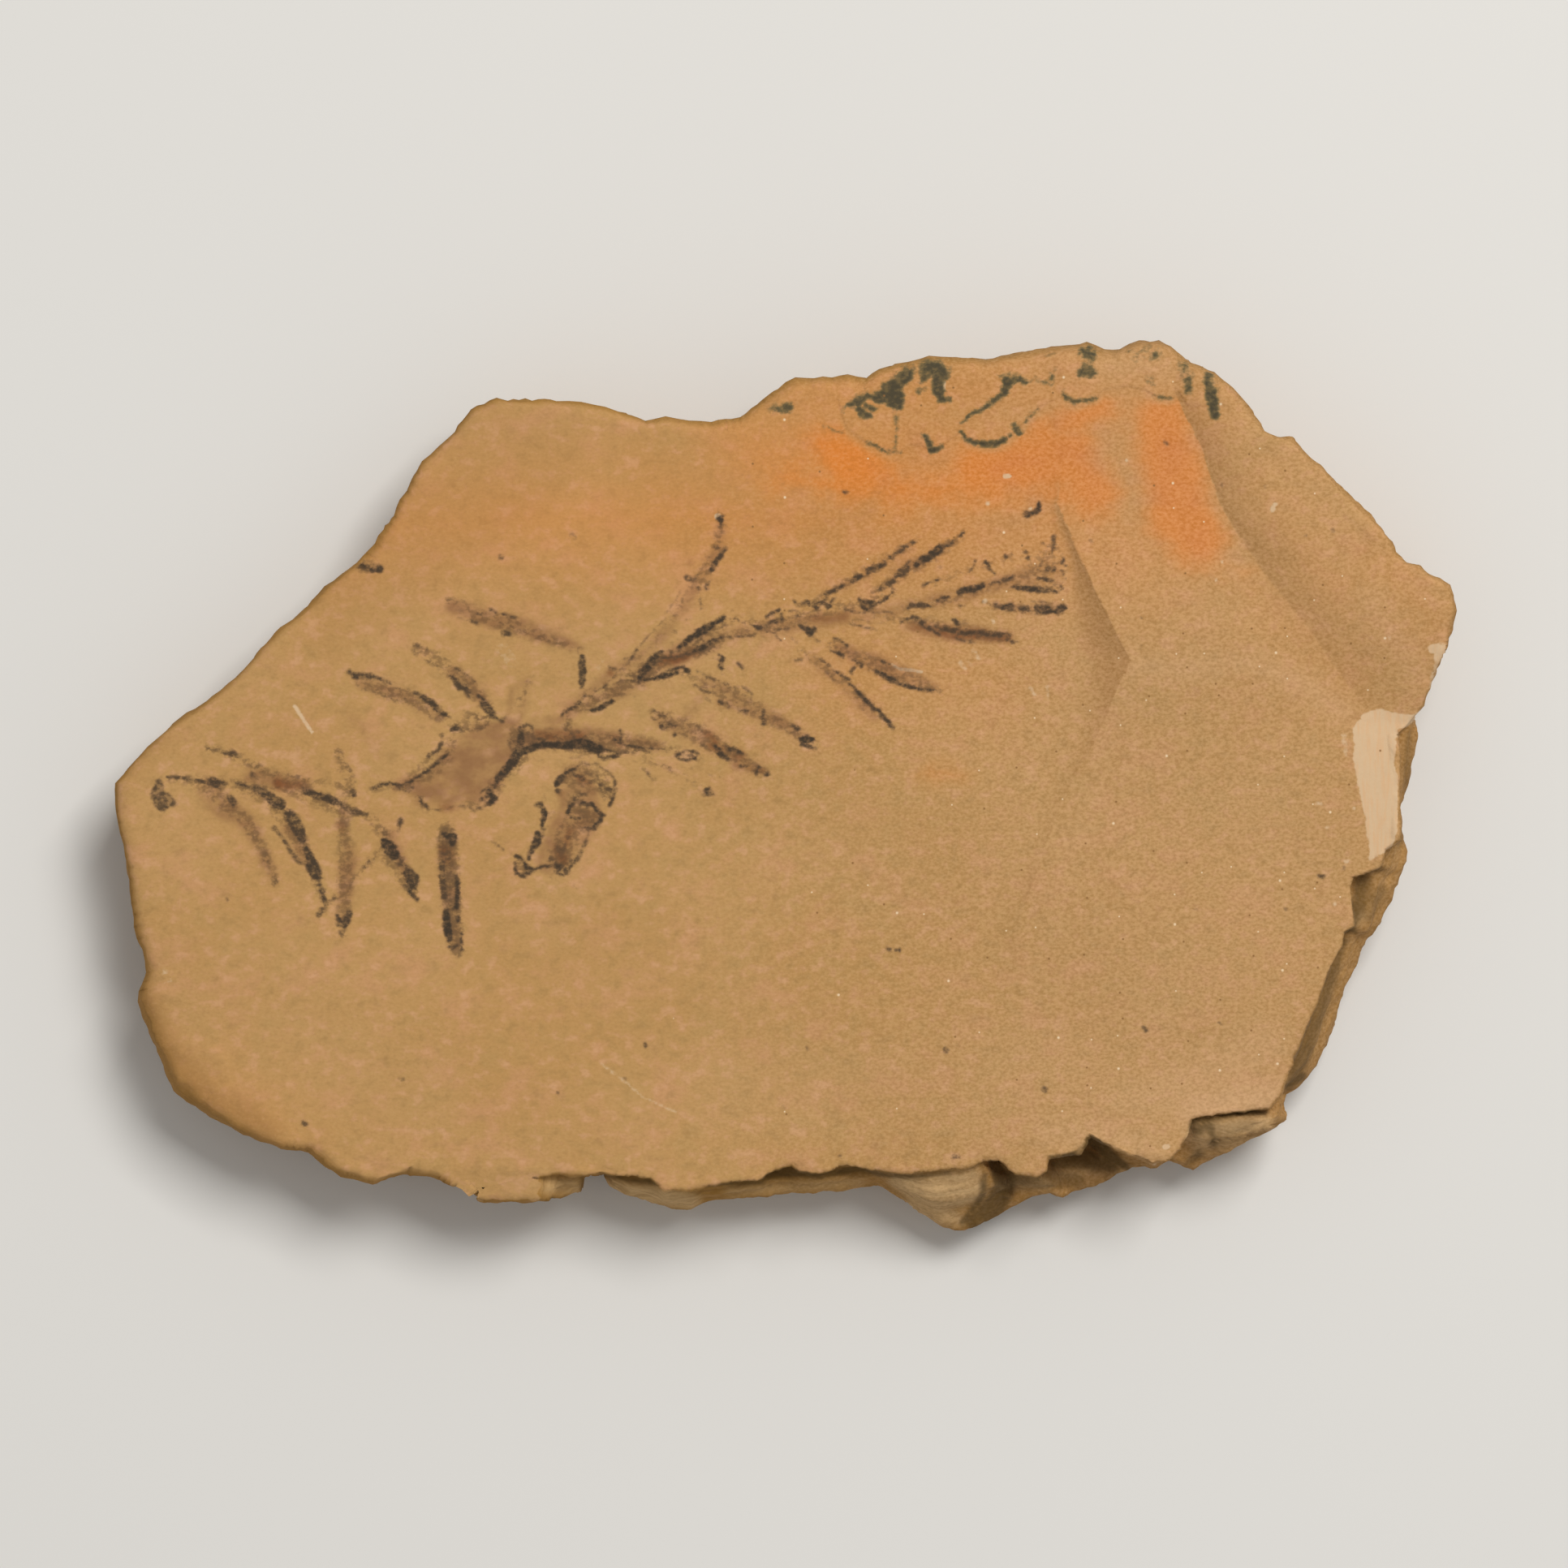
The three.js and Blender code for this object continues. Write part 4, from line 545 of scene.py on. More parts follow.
# Then the broken film between those lines, which fills each needle, the stem and the cone.
FILL = {
    "left": [
        (0.42, (-58, 0.8, 0.6), (-55.2, 0.5, 0.75), (-52.5, 0.2, 0.9), (-49.9, 0, 1.05)),
        (0.4, (-54.4, -0.2, 0.9), (-52.5, -1.5, 1.5), (-50.6, -3, 1.35), (-49.2, -5.1, 1.05),
         (-48.2, -7.4, 1), (-47.6, -9.1, 0.7)),
        (0.4, (-54, 3.6, 0.6), (-51.8, 3, 0.85), (-49.5, 1.7, 0.85), (-47.2, 0.6, 1.05), (-44.9, 0, 1.2)),
        (0.42, (-50.6, -0.3, 0.9), (-48, -1.5, 1.35), (-46.2, -3.6, 1.65), (-45, -5.9, 1.5),
         (-43.9, -8.4, 1.2), (-43, -10.9, 0.55)),
        (0.45, (-45.3, -0.3, 1.05), (-43.4, -1, 1.05), (-41.5, -1.7, 0.9), (-39.2, -2.7, 0.6)),
        (0.38, (-41.8, 3, 0.7), (-40.9, 1.2, 0.75), (-40.3, -0.9, 0.7)),
        (0.42, (-41.3, -2.4, 1.05), (-41.1, -5.5, 1.3), (-41, -8.1, 1.65), (-41.2, -10.8, 1.45),
         (-41.3, -13.8, 0.7)),
        (0.35, (-43.2, -11.7, 0.55), (-40.7, -9.1, 0.6), (-38.6, -7, 0.7), (-36, -3.6, 0.6)),
        (0.42, (-38.8, -3, 0.6), (-37.2, -5.3, 1.15), (-35.6, -7.9, 1.35), (-34.5, -10.4, 0.7)),
        (0.6, (-31.6, -4.3, 1.65), (-31.4, -7, 1.8), (-31.3, -10, 1.9), (-31, -13.1, 1.65),
         (-30.6, -15.5, 1.05)),
        (0.3, (-57.84, 0.61, 0.61), (-55.56, 0.23, 0.76), (-53.28, 0, 0.76)),
        (0.45, (-51.38, -0.08, 0.46), (-49.1, 0, 0.61), (-46.82, -0.38, 0.61), (-44.54, -1.29, 0.68),
         (-42.26, -2.2, 0.84), (-39.98, -2.66, 0.84), (-38.08, -3.34, 0.68)),
        (0.4, (-48.49, 0.99, 0.53), (-46.06, 0.76, 0.61), (-43.02, 0.3, 0.53)),
        (0.45, (-41.8, 3.27, 0.53), (-41.27, 1.37, 0.68), (-40.74, -0.3, 0.91)),
        (0.5, (-41.88, 0.23, 0.61), (-40.74, -0.76, 0.76)),
        (0.5, (-37.7, -6.23, 0.46), (-36.94, -7.14, 0.53), (-36.18, -8.36, 0.53), (-35.64, -9.27, 0.53)),
        (0.35, (-35.04, 0.99, 0.61), (-33.52, 2.13, 0.91), (-32.15, 3.5, 0.91), (-31.16, 4.26, 0.61)),
        (0.35, (-29.72, 6.23, 0.91), (-28.58, 6.54, 1.06)),
    ],
    "upper_left": [
        (0.42, (-40.6, 10.6, 0.6), (-38.8, 9.7, 1.2), (-36.6, 8.7, 1.5), (-34.3, 7.9, 1.65),
         (-31.6, 6.4, 0.9)),
        (0.4, (-34.8, 13.2, 0.6), (-33.1, 12.2, 1.05), (-30.9, 10.5, 1.5), (-29, 8.8, 1.5),
         (-27.2, 6.7, 0.9)),
        (0.36, (-31.6, 17.3, 0.6), (-29.3, 16.3, 1.35), (-26.7, 15.4, 1.65), (-23.6, 14.3, 1.35),
         (-19.22, 12.67, 0.55)),
        (0.3, (-24.8, 7.6, 0.75), (-24, 9.3, 0.6), (-23.6, 10.5, 0.45)),
        (0.4, (-30.9, 5.4, 1.05), (-28.6, 5.9, 1.2), (-27.1, 6.7, 1.05)),
    ],
    "upright": [
        (0.25, (-17.5, 8.6, 0.6), (-15.2, 10.4, 0.9), (-12.5, 13, 0.8), (-9.9, 16.4, 0.9),
         (-8.1, 19.35, 1)),
        (0.4, (-8.32, 18.65, 1.05), (-7.02, 20.55, 1.15), (-6.12, 22.85, 1), (-5.9, 25.1, 0.7)),
    ],
    "axis": [
        (0.45, (-20.42, 6.77, 0.6), (-18.22, 7.87, 0.9), (-15.92, 9.07, 1.2), (-13.72, 10.37, 1.65),
         (-11.62, 11.67, 1.8)),
        (0.45, (-11.62, 11.67, 1.65), (-9.52, 12.57, 1.35), (-7.22, 13.27, 0.9)),
        (0.4, (-9.92, 12.57, 1.05), (-7.82, 14.17, 1.2), (-5.72, 15.47, 0.9)),
        (0.35, (-6.42, 13.87, 0.75), (-2.62, 14.45, 1.05), (0.78, 15.25, 1.35), (3.3, 16.32, 1.5),
         (6, 16.82, 1.2)),
        (0.4, (-8.02, 13.27, 0.6), (-4.52, 15.65, 0.4), (-1.92, 15.05, 0.9)),
        (0.6, (-13.38, 10.03, 1.1), (-12.62, 11.1, 1.4), (-11.7, 12.16, 0.9)),
        (0.55, (-11.1, 11.86, 0.61), (-8.97, 12.24, 0.76), (-7.45, 12.77, 1.1), (-5.93, 13.6, 0.76)),
        (0.5, (-9.42, 13.07, 0.61), (-7.9, 13.83, 1.1), (-5.93, 15.2, 0.76)),
        (0.5, (-14.9, 9.88, 0.76), (-13.38, 9.73, 0.76)),
        (0.5, (-18.54, 7.3, 0.61), (-16.42, 8.51, 0.9), (-14.44, 9.42, 0.9)),
        (0.35, (-12.62, 10.03, 0.9), (-9.58, 10.64, 0.9)),
    ],
    "stem": [
        (0.5, (-24.8, 4.6, 2), (-22.82, 4.15, 1.5), (-20.12, 3.85, 1.5), (-17.52, 3.45, 1.5),
         (-15.22, 3.65, 0.9)),
        (0.35, (-17.12, 4.45, 1.05), (-13.32, 4.15, 1.05), (-10.22, 3.35, 0.9), (-8.02, 2.55, 0.75)),
        (0.32, (-12.92, 2.35, 0.6), (-10.22, 1.35, 0.45), (-7.1, -0.5, 0.6)),
        (0.45, (-27.4, 0, 0.9), (-25.9, 1.2, 1.2), (-24.32, 2.75, 1.05)),
        (0.42, (-38.5, -0.2, 0.75), (-35.4, 0, 0.9), (-33.1, 1, 1.05), (-31.6, 2.5, 1.05),
         (-31, 4.3, 0.75)),
        (0.42, (-34, -1.3, 0.75), (-33.5, -2.1, 0.6)),
        (0.35, (-29.7, -1.8, 0.75), (-27.6, -1.5, 1.05)),
        (0.6, (-24.78, 4.71, 1.1), (-23.86, 4.41, 1.2), (-22.95, 4.1, 0.76)),
        (0.5, (-22.95, 4.56, 0.76), (-20.98, 4.56, 0.9), (-19, 4.56, 0.9), (-17.33, 4.56, 0.76)),
        (0.5, (-17.48, 4.26, 1.1), (-15.96, 3.95, 1.2), (-14.14, 3.95, 1.1), (-12.16, 3.8, 0.76)),
        (0.45, (-16.26, 3.19, 1.1), (-14.44, 3.34, 0.9), (-12.77, 3.19, 0.61)),
        (0.4, (-24.78, 2.58, 1.1), (-25.99, 0.91, 0.9), (-27.21, -0.61, 1.1)),
        (0.4, (-20.22, 6.69, 0.76), (-20.22, 5.32, 1.1)),
    ],
    "cone": [
        (0.4, (-20.22, 0.46, 1.22), (-18.54, 0.46, 1.82), (-17.02, -0.15, 1.37)),
        (0.42, (-16.8, 0.61, 0.76), (-16.42, -1.29, 0.76)),
        (0.38, (-19.3, -1.29, 1.98), (-19.3, -2.81, 2.28), (-20.22, -4.71, 2.58), (-20.98, -6.23, 2.28),
         (-21.43, -7.3, 1.52)),
        (0.7, (-19.3, -2.28, 0.91), (-18.54, -2.66, 1.06)),
        (0.6, (-20.98, -5.47, 0.76), (-20.44, -6.38, 0.91)),
        (0.5, (-24.7, -7.14, 0.61), (-24.24, -7.75, 0.61)),
        (0.5, (-17.02, 0.15, 1.4), (-16.42, -0.76, 1.1)),
        (0.55, (-19.3, -2.28, 1.1), (-18.09, -2.89, 1.4)),
        (0.6, (-20.98, -5.93, 1.4), (-20.82, -7.14, 1.4)),
        (0.4, (-20.22, 1.37, 0.76), (-18.24, 1.37, 0.9), (-16.87, 0.76, 0.9)),
        (0.55, (-24.78, -7.45, 0.76), (-24.17, -8.06, 0.76)),
        (0.4, (-22.65, -2.43, 0.76), (-22.5, -3.5, 0.61)),
    ],
    "right": [
        (0.42, (2.6, 16.92, 0.9), (5.2, 18.62, 0.85), (7.9, 20.12, 1), (10.6, 21.82, 0.85),
         (12.5, 23.02, 0.45)),
        (0.42, (8.3, 18.02, 0.7), (10.6, 19.52, 1.05), (13.2, 21.02, 1.15), (15.5, 22.52, 0.85),
         (16.88, 23.62, 0.45)),
        (0.42, (6.4, 16.62, 0.9), (8.3, 17.12, 1.2), (10.2, 18.12, 0.55)),
        (0.35, (10.9, 16.32, 0.75), (14, 17.02, 1), (17.08, 18.02, 1.05), (20.88, 19.22, 0.9),
         (24.68, 20.12, 1.05)),
        (0.3, (14, 18.72, 0.45), (17.08, 20.12, 0.75), (20.88, 21.32, 0.75), (22.58, 21.52, 0.6)),
        (0.3, (23.18, 20.32, 1.5), (25.08, 21.82, 2), (25.68, 20.32, 1.65)),
        (0.45, (21.48, 18.62, 0.55), (23.58, 18.42, 0.75), (25.88, 18.62, 0.75)),
        (0.45, (19.78, 16.82, 0.7), (22.38, 16.52, 0.85), (26.18, 16.52, 0.85)),
        (0.38, (10.95, 15.62, 0.6), (13.75, 15.12, 1.2), (16.38, 14.42, 1.35), (18.98, 14.02, 1.05),
         (21.48, 13.62, 0.6)),
        (0.3, (6.15, 15.42, 0.6), (9.55, 15.62, 0.9), (12.65, 15.62, 0.75)),
        (0.36, (4.15, 13.32, 0.6), (6.55, 12.22, 1.2), (9.15, 11.02, 1.65), (11.85, 9.92, 1.65),
         (14.25, 8.92, 0.7)),
        (0.34, (1.48, 12.65, 0.6), (3.85, 11.02, 0.9), (6.15, 9.22, 1.05), (8.05, 7.52, 1.05),
         (10.15, 5.62, 0.6)),
    ],
    "middle": [
        (0.4, (-8.72, 10.27, 0.75), (-6.82, 9.37, 1.65), (-4.6, 8.4, 1.8), (-2.32, 6.85, 1.5),
         (0.05, 5.62, 1.05), (2.6, 4, 1.05)),
        (0.4, (-12.32, 6.77, 0.75), (-10.62, 6.05, 1.65), (-8.02, 4.85, 2), (-5.72, 3.45, 1.65),
         (-3.82, 2.25, 1.35), (-1.62, 1.05, 0.75)),
        (0.3, (-6.42, 12.07, 0.6), (-5.72, 10.87, 0.6)),
    ],
}
# Under both lies a thin even tint.
WASH = {
    "needles": [
        (0.45, (-49.9, 0.8, 1.5), (-47.2, 0.5, 1.6), (-44.9, 0, 1.4)),
        (0.42, (-53.8, -0.5, 2.3), (-52.5, -2.1, 2.3), (-50.6, -3, 1.6), (-49.7, -4.3, 1.5),
         (-48.9, -5.9, 1.4), (-48.3, -7.6, 1.2), (-47.8, -8.8, 0.9)),
        (0.4, (-46.4, -4, 1.1), (-45.6, -5.5, 1.1), (-44.7, -7.3, 1.1)),
        (0.4, (-41.2, -2.4, 0.9), (-41.2, -4, 0.8), (-41, -5.1, 0.9), (-40.7, -6.2, 1.4),
         (-40.9, -7.8, 1.8), (-41, -9.3, 1.6), (-41.2, -10.8, 1.4), (-41.3, -12.3, 0.9)),
        (0.45, (-39.6, 9.7, 0.9), (-37.7, 9, 1.2), (-35.4, 8.4, 1.2), (-33.5, 7.3, 1.2),
         (-32.4, 6.5, 0.9)),
        (0.4, (-30.9, 10.6, 1.2), (-29.7, 9.6, 1.6), (-28.4, 8.2, 1.2)),
        (0.45, (-30.9, 16.7, 1.4), (-27.8, 15.7, 1.5), (-24.8, 14.9, 1.6), (-21.7, 13.9, 1.5),
         (-19, 12.9, 0.6)),
        (0.35, (-20.1, 7.4, 0.8), (-15.6, 10.7, 1.5), (-12.5, 12.6, 1.2), (-9.5, 16.4, 1.1),
         (-8, 19.1, 1.2), (-6.1, 22.4, 1.1), (-5.9, 24.5, 0.8)),
        (0.45, (5, 12.9, 1.1), (8.8, 11.4, 1.6), (12.7, 9.8, 1.5), (13.9, 9.2, 0.8)),
        (0.35, (2.8, 11.8, 1.1), (5.8, 9.2, 1.2), (8.4, 6.6, 1.1)),
        (0.4, (-7.2, 9.5, 1.4), (-4.9, 8.2, 1.5), (-2.3, 7, 1.5), (0.1, 5.7, 1.1), (1.8, 4.6, 0.8)),
        (0.35, (-11.6, 6.3, 1.4), (-9.5, 5.3, 1.5), (-6.4, 3.9, 1.5), (-4.2, 2.5, 1.1), (-2, 1.4, 0.8)),
        (0.35, (10.2, 20.3, 1.1), (12.8, 21, 1.1), (15.1, 22.3, 0.8)),
        (0.3, (5.6, 18.6, 0.8), (8.3, 20.1, 0.9), (11.7, 22.2, 0.7)),
        (0.4, (-36.9, -4.7, 1.1), (-36, -6.8, 1.2), (-35, -8.9, 1.2)),
        (0.35, (-31.6, -5.5, 1.6), (-31.4, -8.5, 1.8), (-31.2, -11.6, 1.6), (-30.9, -14.6, 1.4)),
    ],
    "stem_and_cone": [
        (0.5, (-36.2, 0, 0.9), (-33.9, 0, 2.3), (-31.6, 0.2, 4.2), (-29.3, 1.5, 6.4), (-27.8, 3.3, 5.3),
         (-25.9, 4.8, 3)),
        (0.5, (-24.8, 4.6, 2.3), (-21.6, 4.5, 1.8), (-18.6, 4.5, 2), (-16.3, 4.2, 1.5)),
        (0.45, (-19.4, 0.3, 3.4), (-19, -2.5, 4), (-20.7, -5.3, 3.6), (-21.9, -6.9, 2.6)),
        (0.4, (-17.1, 8, 1.2), (-13.3, 10.7, 1.6), (-10.2, 12.2, 1.8), (-7.2, 13.9, 1.6),
         (-3.4, 14.4, 1.1)),
        (0.35, (-1.9, 14.8, 1.4), (2.8, 15.3, 1.6), (7.1, 15.9, 1.5), (10.9, 16.5, 1.2)),
        (0.35, (11.7, 16.8, 1.2), (16.4, 17.8, 1.6), (20.9, 19.1, 1.6), (24.7, 19.9, 2.6)),
        (0.4, (11.8, 14.9, 1.2), (16.4, 14.3, 1.6), (20.9, 14, 1.1)),
        (0.35, (20.2, 16.7, 0.9), (25.5, 16.5, 1.1)),
        (0.25, (-41.5, 7.5, 0.6), (-39.4, 5.3, 1.1), (-37.8, 3, 1.4)),
        (0.3, (-34.3, -1.5, 0.9), (-30.9, -1.8, 0.9), (-27.8, -1.3, 0.9)),
        (0.35, (-23.6, 5.9, 0.9), (-21, 6.1, 1.1), (-19.8, 6.7, 0.8)),
        (0.3, (-25.9, 5.9, 0.8), (-25.4, 9, 0.6), (-24, 9.9, 0.6)),
        (0.35, (-24.8, 5.8, 0.6), (-24.4, 7.6, 0.5), (-24, 9.3, 0.5)),
        (0.5, (-24.8, 4.8, 1.4), (-20.2, 4.8, 1.7), (-15.7, 4.3, 1.5), (-11.9, 3.8, 0.9)),
        (0.4, (-20.2, 6.7, 1.1), (-17.9, 7.8, 1.1), (-13.4, 9.7, 1.5)),
        (0.45, (-12.6, 10.9, 1.7), (-8.8, 12.5, 1.4), (-5, 13.9, 1.1)),
        (0.35, (-7.3, 8.6, 0.8), (-10.3, 5.2, 0.9)),
    ],
}
# Where the film has turned to rust.
RUST = {
    "needles": [
        (0.6, (-47.2, 0.2, 1.1), (-45.1, 0.2, 0.8)),
        (0.5, (-41.6, -3.8, 0.8), (-41.3, -4.1, 0.8)),
        (0.6, (-32, -2.1, 0.6), (-31.2, -2.1, 0.4)),
        (0.5, (-31.8, -5.9, 0.9), (-31.5, -6.6, 1.4)),
        (0.6, (-15.7, 4.2, 0.6), (-15.6, 4, 0.6)),
        (0.5, (-22.8, 4.8, 1.1), (-20.9, 4.7, 0.9), (-19, 4.5, 0.9)),
        (0.5, (-19.1, 0.8, 0.5), (-18.6, 0.5, 0.4), (-18.1, 0.2, 0.4)),
        (0.6, (-21, -0.6, 0.6), (-21, -0.6, 0.6)),
        (0.4, (-21, -6.1, 1.1), (-20.7, -7.1, 1.1)),
        (0.5, (-20.1, -4.4, 0.6), (-20.4, -5.6, 0.7)),
        (0.6, (-16.2, 10.6, 0.6), (-16.1, 10.5, 0.6)),
        (0.45, (-8.9, 20.9, 0.4), (-8.8, 20.9, 0.4)),
        (0.6, (-11.4, 11.7, 0.8), (-10.2, 11.8, 0.6), (-9.5, 12, 0.6), (-8.6, 12.4, 0.6),
         (-8.1, 12.6, 0.6)),
        (0.35, (2.8, 15.7, 1.1), (5.6, 15.9, 1.1)),
        (0.5, (12.2, 14.9, 0.9), (16.4, 14.2, 1.2), (20.9, 13.9, 0.9)),
        (0.7, (-7.3, 4.8, 0.5), (-6.8, 4.5, 0.5), (-6.4, 4, 0.5)),
        (0.5, (-6.8, 3.6, 1.1), (-4.2, 2.8, 1.1)),
        (0.4, (-4.5, 1.9, 0.8), (-1.9, 1.2, 0.8)),
        (0.4, (-6.1, 7.9, 0.8), (-5.1, 7.5, 0.8)),
    ],
}
# The dark manganese streaks behind the leaf.
MANGANESE = {
    "streaks": [
        (0.75, (-0.8, 35.3, 0.88), (0.4, 35.4, 0.99)),
        (0.85, (6.1, 35.7, 0.6), (6.8, 35.9, 0.99), (7.5, 36.5, 0.79), (8.2, 36.5, 0.49)),
        (0.6, (5.6, 35, 0.3), (5.8, 35.5, 0.39), (6.1, 35.7, 0.49)),
        (0.85, (7, 35.3, 0.69), (7.4, 34.7, 0.79), (8.1, 34.7, 0.49)),
        (0.8, (7.7, 35.6, 0.49), (8.4, 35.2, 0.6)),
        (0.95, (8.8, 36.3, 1.17), (9.6, 36.6, 1.56), (10.3, 36.3, 1.95), (10.7, 35.6, 0.88)),
        (0.9, (9.7, 37.2, 1.3), (10.6, 37.7, 1.43), (11.4, 38.3, 1.17), (11.9, 38.8, 0.99)),
        (0.6, (11.2, 39.4, 0.39), (11.2, 38.9, 0.39)),
        (0.6, (10.5, 35.3, 0.39), (10.5, 33.3, 0.3), (10.4, 31.5, 0.3)),
        (0.55, (3.8, 33.7, 0.3), (4.7, 33.3, 0.3), (5.5, 33.1, 0.2)),
        (0.7, (7.8, 32.1, 0.3), (8.7, 31.8, 0.3), (9.4, 31.3, 0.39), (10.8, 31.2, 0.39)),
        (0.85, (13.2, 39.7, 0.69), (14, 39.9, 0.99), (14.6, 39.9, 0.6)),
        (0.97, (13.2, 39, 1.09), (14.1, 39, 1.82), (14.7, 38.5, 1.43)),
        (0.85, (13.1, 38.3, 0.79), (12.9, 37.8, 0.49)),
        (0.9, (14.4, 37.8, 1.09), (14.5, 36.9, 1.17), (14.7, 36.2, 0.79), (15.6, 36.2, 0.39)),
        (0.6, (12.6, 36.9, 0.6), (13.1, 37.2, 0.49)),
        (0.35, (15, 39.8, 0.49), (15.9, 39.9, 0.39)),
        (0.97, (13.1, 32.8, 0.39), (13.6, 32.1, 0.49), (13.8, 31.5, 0.69), (14.2, 31.4, 0.49),
         (14.8, 31.8, 0.3)),
        (0.9, (16.6, 33.1, 0.3), (17, 32.5, 0.39), (17.8, 32.1, 0.39), (18.8, 32, 0.6), (19.7, 32, 0.6),
         (20.7, 32.4, 0.49)),
        (0.6, (20.9, 32.6, 0.49), (21.3, 32.8, 0.49)),
        (0.8, (21.6, 33.6, 0.69), (22, 33.1, 0.79)),
        (0.6, (22.6, 34, 0.3), (23.1, 34.7, 0.39), (23.7, 35.3, 0.3)),
        (0.85, (16.7, 34, 0.3), (17.5, 34.8, 0.39), (18.7, 35.3, 0.39), (19.3, 35.8, 0.49),
         (20.1, 36.3, 0.6), (20.6, 36.8, 0.6)),
        (0.92, (20.7, 36.9, 0.79), (20.9, 37.7, 0.88), (20.7, 38.3, 0.69)),
        (0.85, (21.2, 37.8, 0.79), (22, 38.1, 0.6), (22.7, 37.7, 0.39)),
        (0.6, (22.7, 37.7, 0.3), (23.5, 38.1, 0.3), (24.2, 37.8, 0.3), (25, 37.6, 0.3)),
        (0.5, (24.6, 40.6, 0.6), (25.4, 40.1, 0.49)),
        (0.65, (25.5, 40.1, 0.39), (25.2, 39, 0.39), (25, 37.8, 0.39)),
        (0.92, (27.8, 41.1, 0.99), (28.4, 40.8, 1.56), (28.7, 40.4, 1.17)),
        (0.42, (28.3, 39.7, 1.43), (28.6, 39.4, 1.17)),
        (0.9, (27.7, 38.5, 0.69), (28.3, 38.8, 1.43), (28.9, 38.5, 0.69)),
        (0.8, (26.1, 36.9, 0.3), (26.4, 36.3, 0.39), (27.1, 35.9, 0.39), (28, 36, 0.39),
         (29.2, 36.3, 0.39)),
        (0.5, (32.2, 40.7, 0.6), (33, 40.1, 0.99)),
        (0.85, (34, 41, 0.49), (34.7, 40.4, 0.69), (35, 40.3, 0.49)),
        (0.4, (34.9, 41.6, 0.3), (35.5, 40.5, 0.3), (35.7, 39, 0.3)),
        (0.55, (34.2, 38, 0.69), (34.7, 37.5, 0.49)),
        (0.6, (34.7, 36.5, 0.3), (35.4, 36.3, 0.39), (36.2, 36.3, 0.3)),
        (0.85, (36.9, 40.4, 0.39), (37.4, 39.4, 0.6), (37.7, 38.5, 0.69), (37.8, 37, 0.69)),
        (0.92, (39.7, 39, 0.79), (39.8, 37.8, 1.09), (40, 36.3, 1.09), (40.3, 34.7, 0.88)),
    ],
}
# Orange iron stains, and the warmer tone of the stone round them.
IRON = {
    "stains": [
        (0.6, (-0.5, 28.7, 4.6), (8.7, 28, 6.8), (17.8, 28, 6.8), (26.1, 27.2, 6.8)),
        (0.85, (3.3, 32.1, 2.3), (6.4, 30.2, 4.6), (9.4, 28.7, 3)),
        (0.45, (1.1, 34.2, 1.5), (4.1, 32.5, 2.3)),
        (1, (17.8, 29.5, 2.3), (22.3, 29.9, 3.8), (26.9, 31, 3.8)),
        (0.9, (24.2, 32.9, 1.5), (27.3, 34.5, 2.3), (29.2, 35.2, 1.9)),
        (1, (27.7, 29.9, 2.3), (29.2, 27.6, 3)),
        (0.6, (30.7, 24.9, 3), (31.8, 23.8, 1.5)),
        (1, (35.3, 34.8, 2.3), (36.2, 30.3, 4.6), (37.1, 25.8, 4.6), (38.9, 23, 3.4)),
        (0.65, (36.2, 24.3, 3), (40.6, 21.2, 3), (43.4, 19.6, 1.8)),
        (0.45, (-28.2, 26.1, 0.5), (-26.3, 25.5, 0.5)),
        (0.35, (-14, 25.5, 0.5), (-13, 25.3, 0.5)),
        (0.5, (-26.9, 26.6, 0.8), (-24.8, 26.3, 0.6)),
        (0.66, (13.2, 1.7, 1.2), (14.7, 1.3, 1.6), (16.3, 1.1, 1.1)),
        (0.4, (-29, -37.5, 1.4), (-24.8, -37.9, 1.2), (-21, -37.9, 0.8)),
    ],
}
WARMTH = {
    "back": [
        (0.48, (-42, 24, 6), (-20, 25, 8), (0, 25, 10)),
        (0.5, (0, 25, 10), (16, 24, 10), (34, 22, 8)),
        (0.3, (-52, -28, 1), (-48, -32, 1)),
        (0.5, (2.6, 35.6, 9.1), (20.8, 37.1, 9.1), (36, 34, 9.1)),
        (0.35, (7.1, 11.2, 8.4), (19.3, 10.5, 8.4)),
        (0.35, (45.1, 26.4, 6.8), (51.2, 18.9, 6.8)),
        (0.6, (-2, 31, 8.4), (10.2, 31, 9.1), (20.8, 31, 8.4)),
        (0.3, (45.1, 17.3, 6.8), (51.2, 11.2, 6.1)),
        (0.4, (55, 21.1, 4.6), (60.3, 15.8, 3)),
        (0.5, (25.4, 37.9, 3.8), (34.5, 37.9, 3.8)),
    ],
}
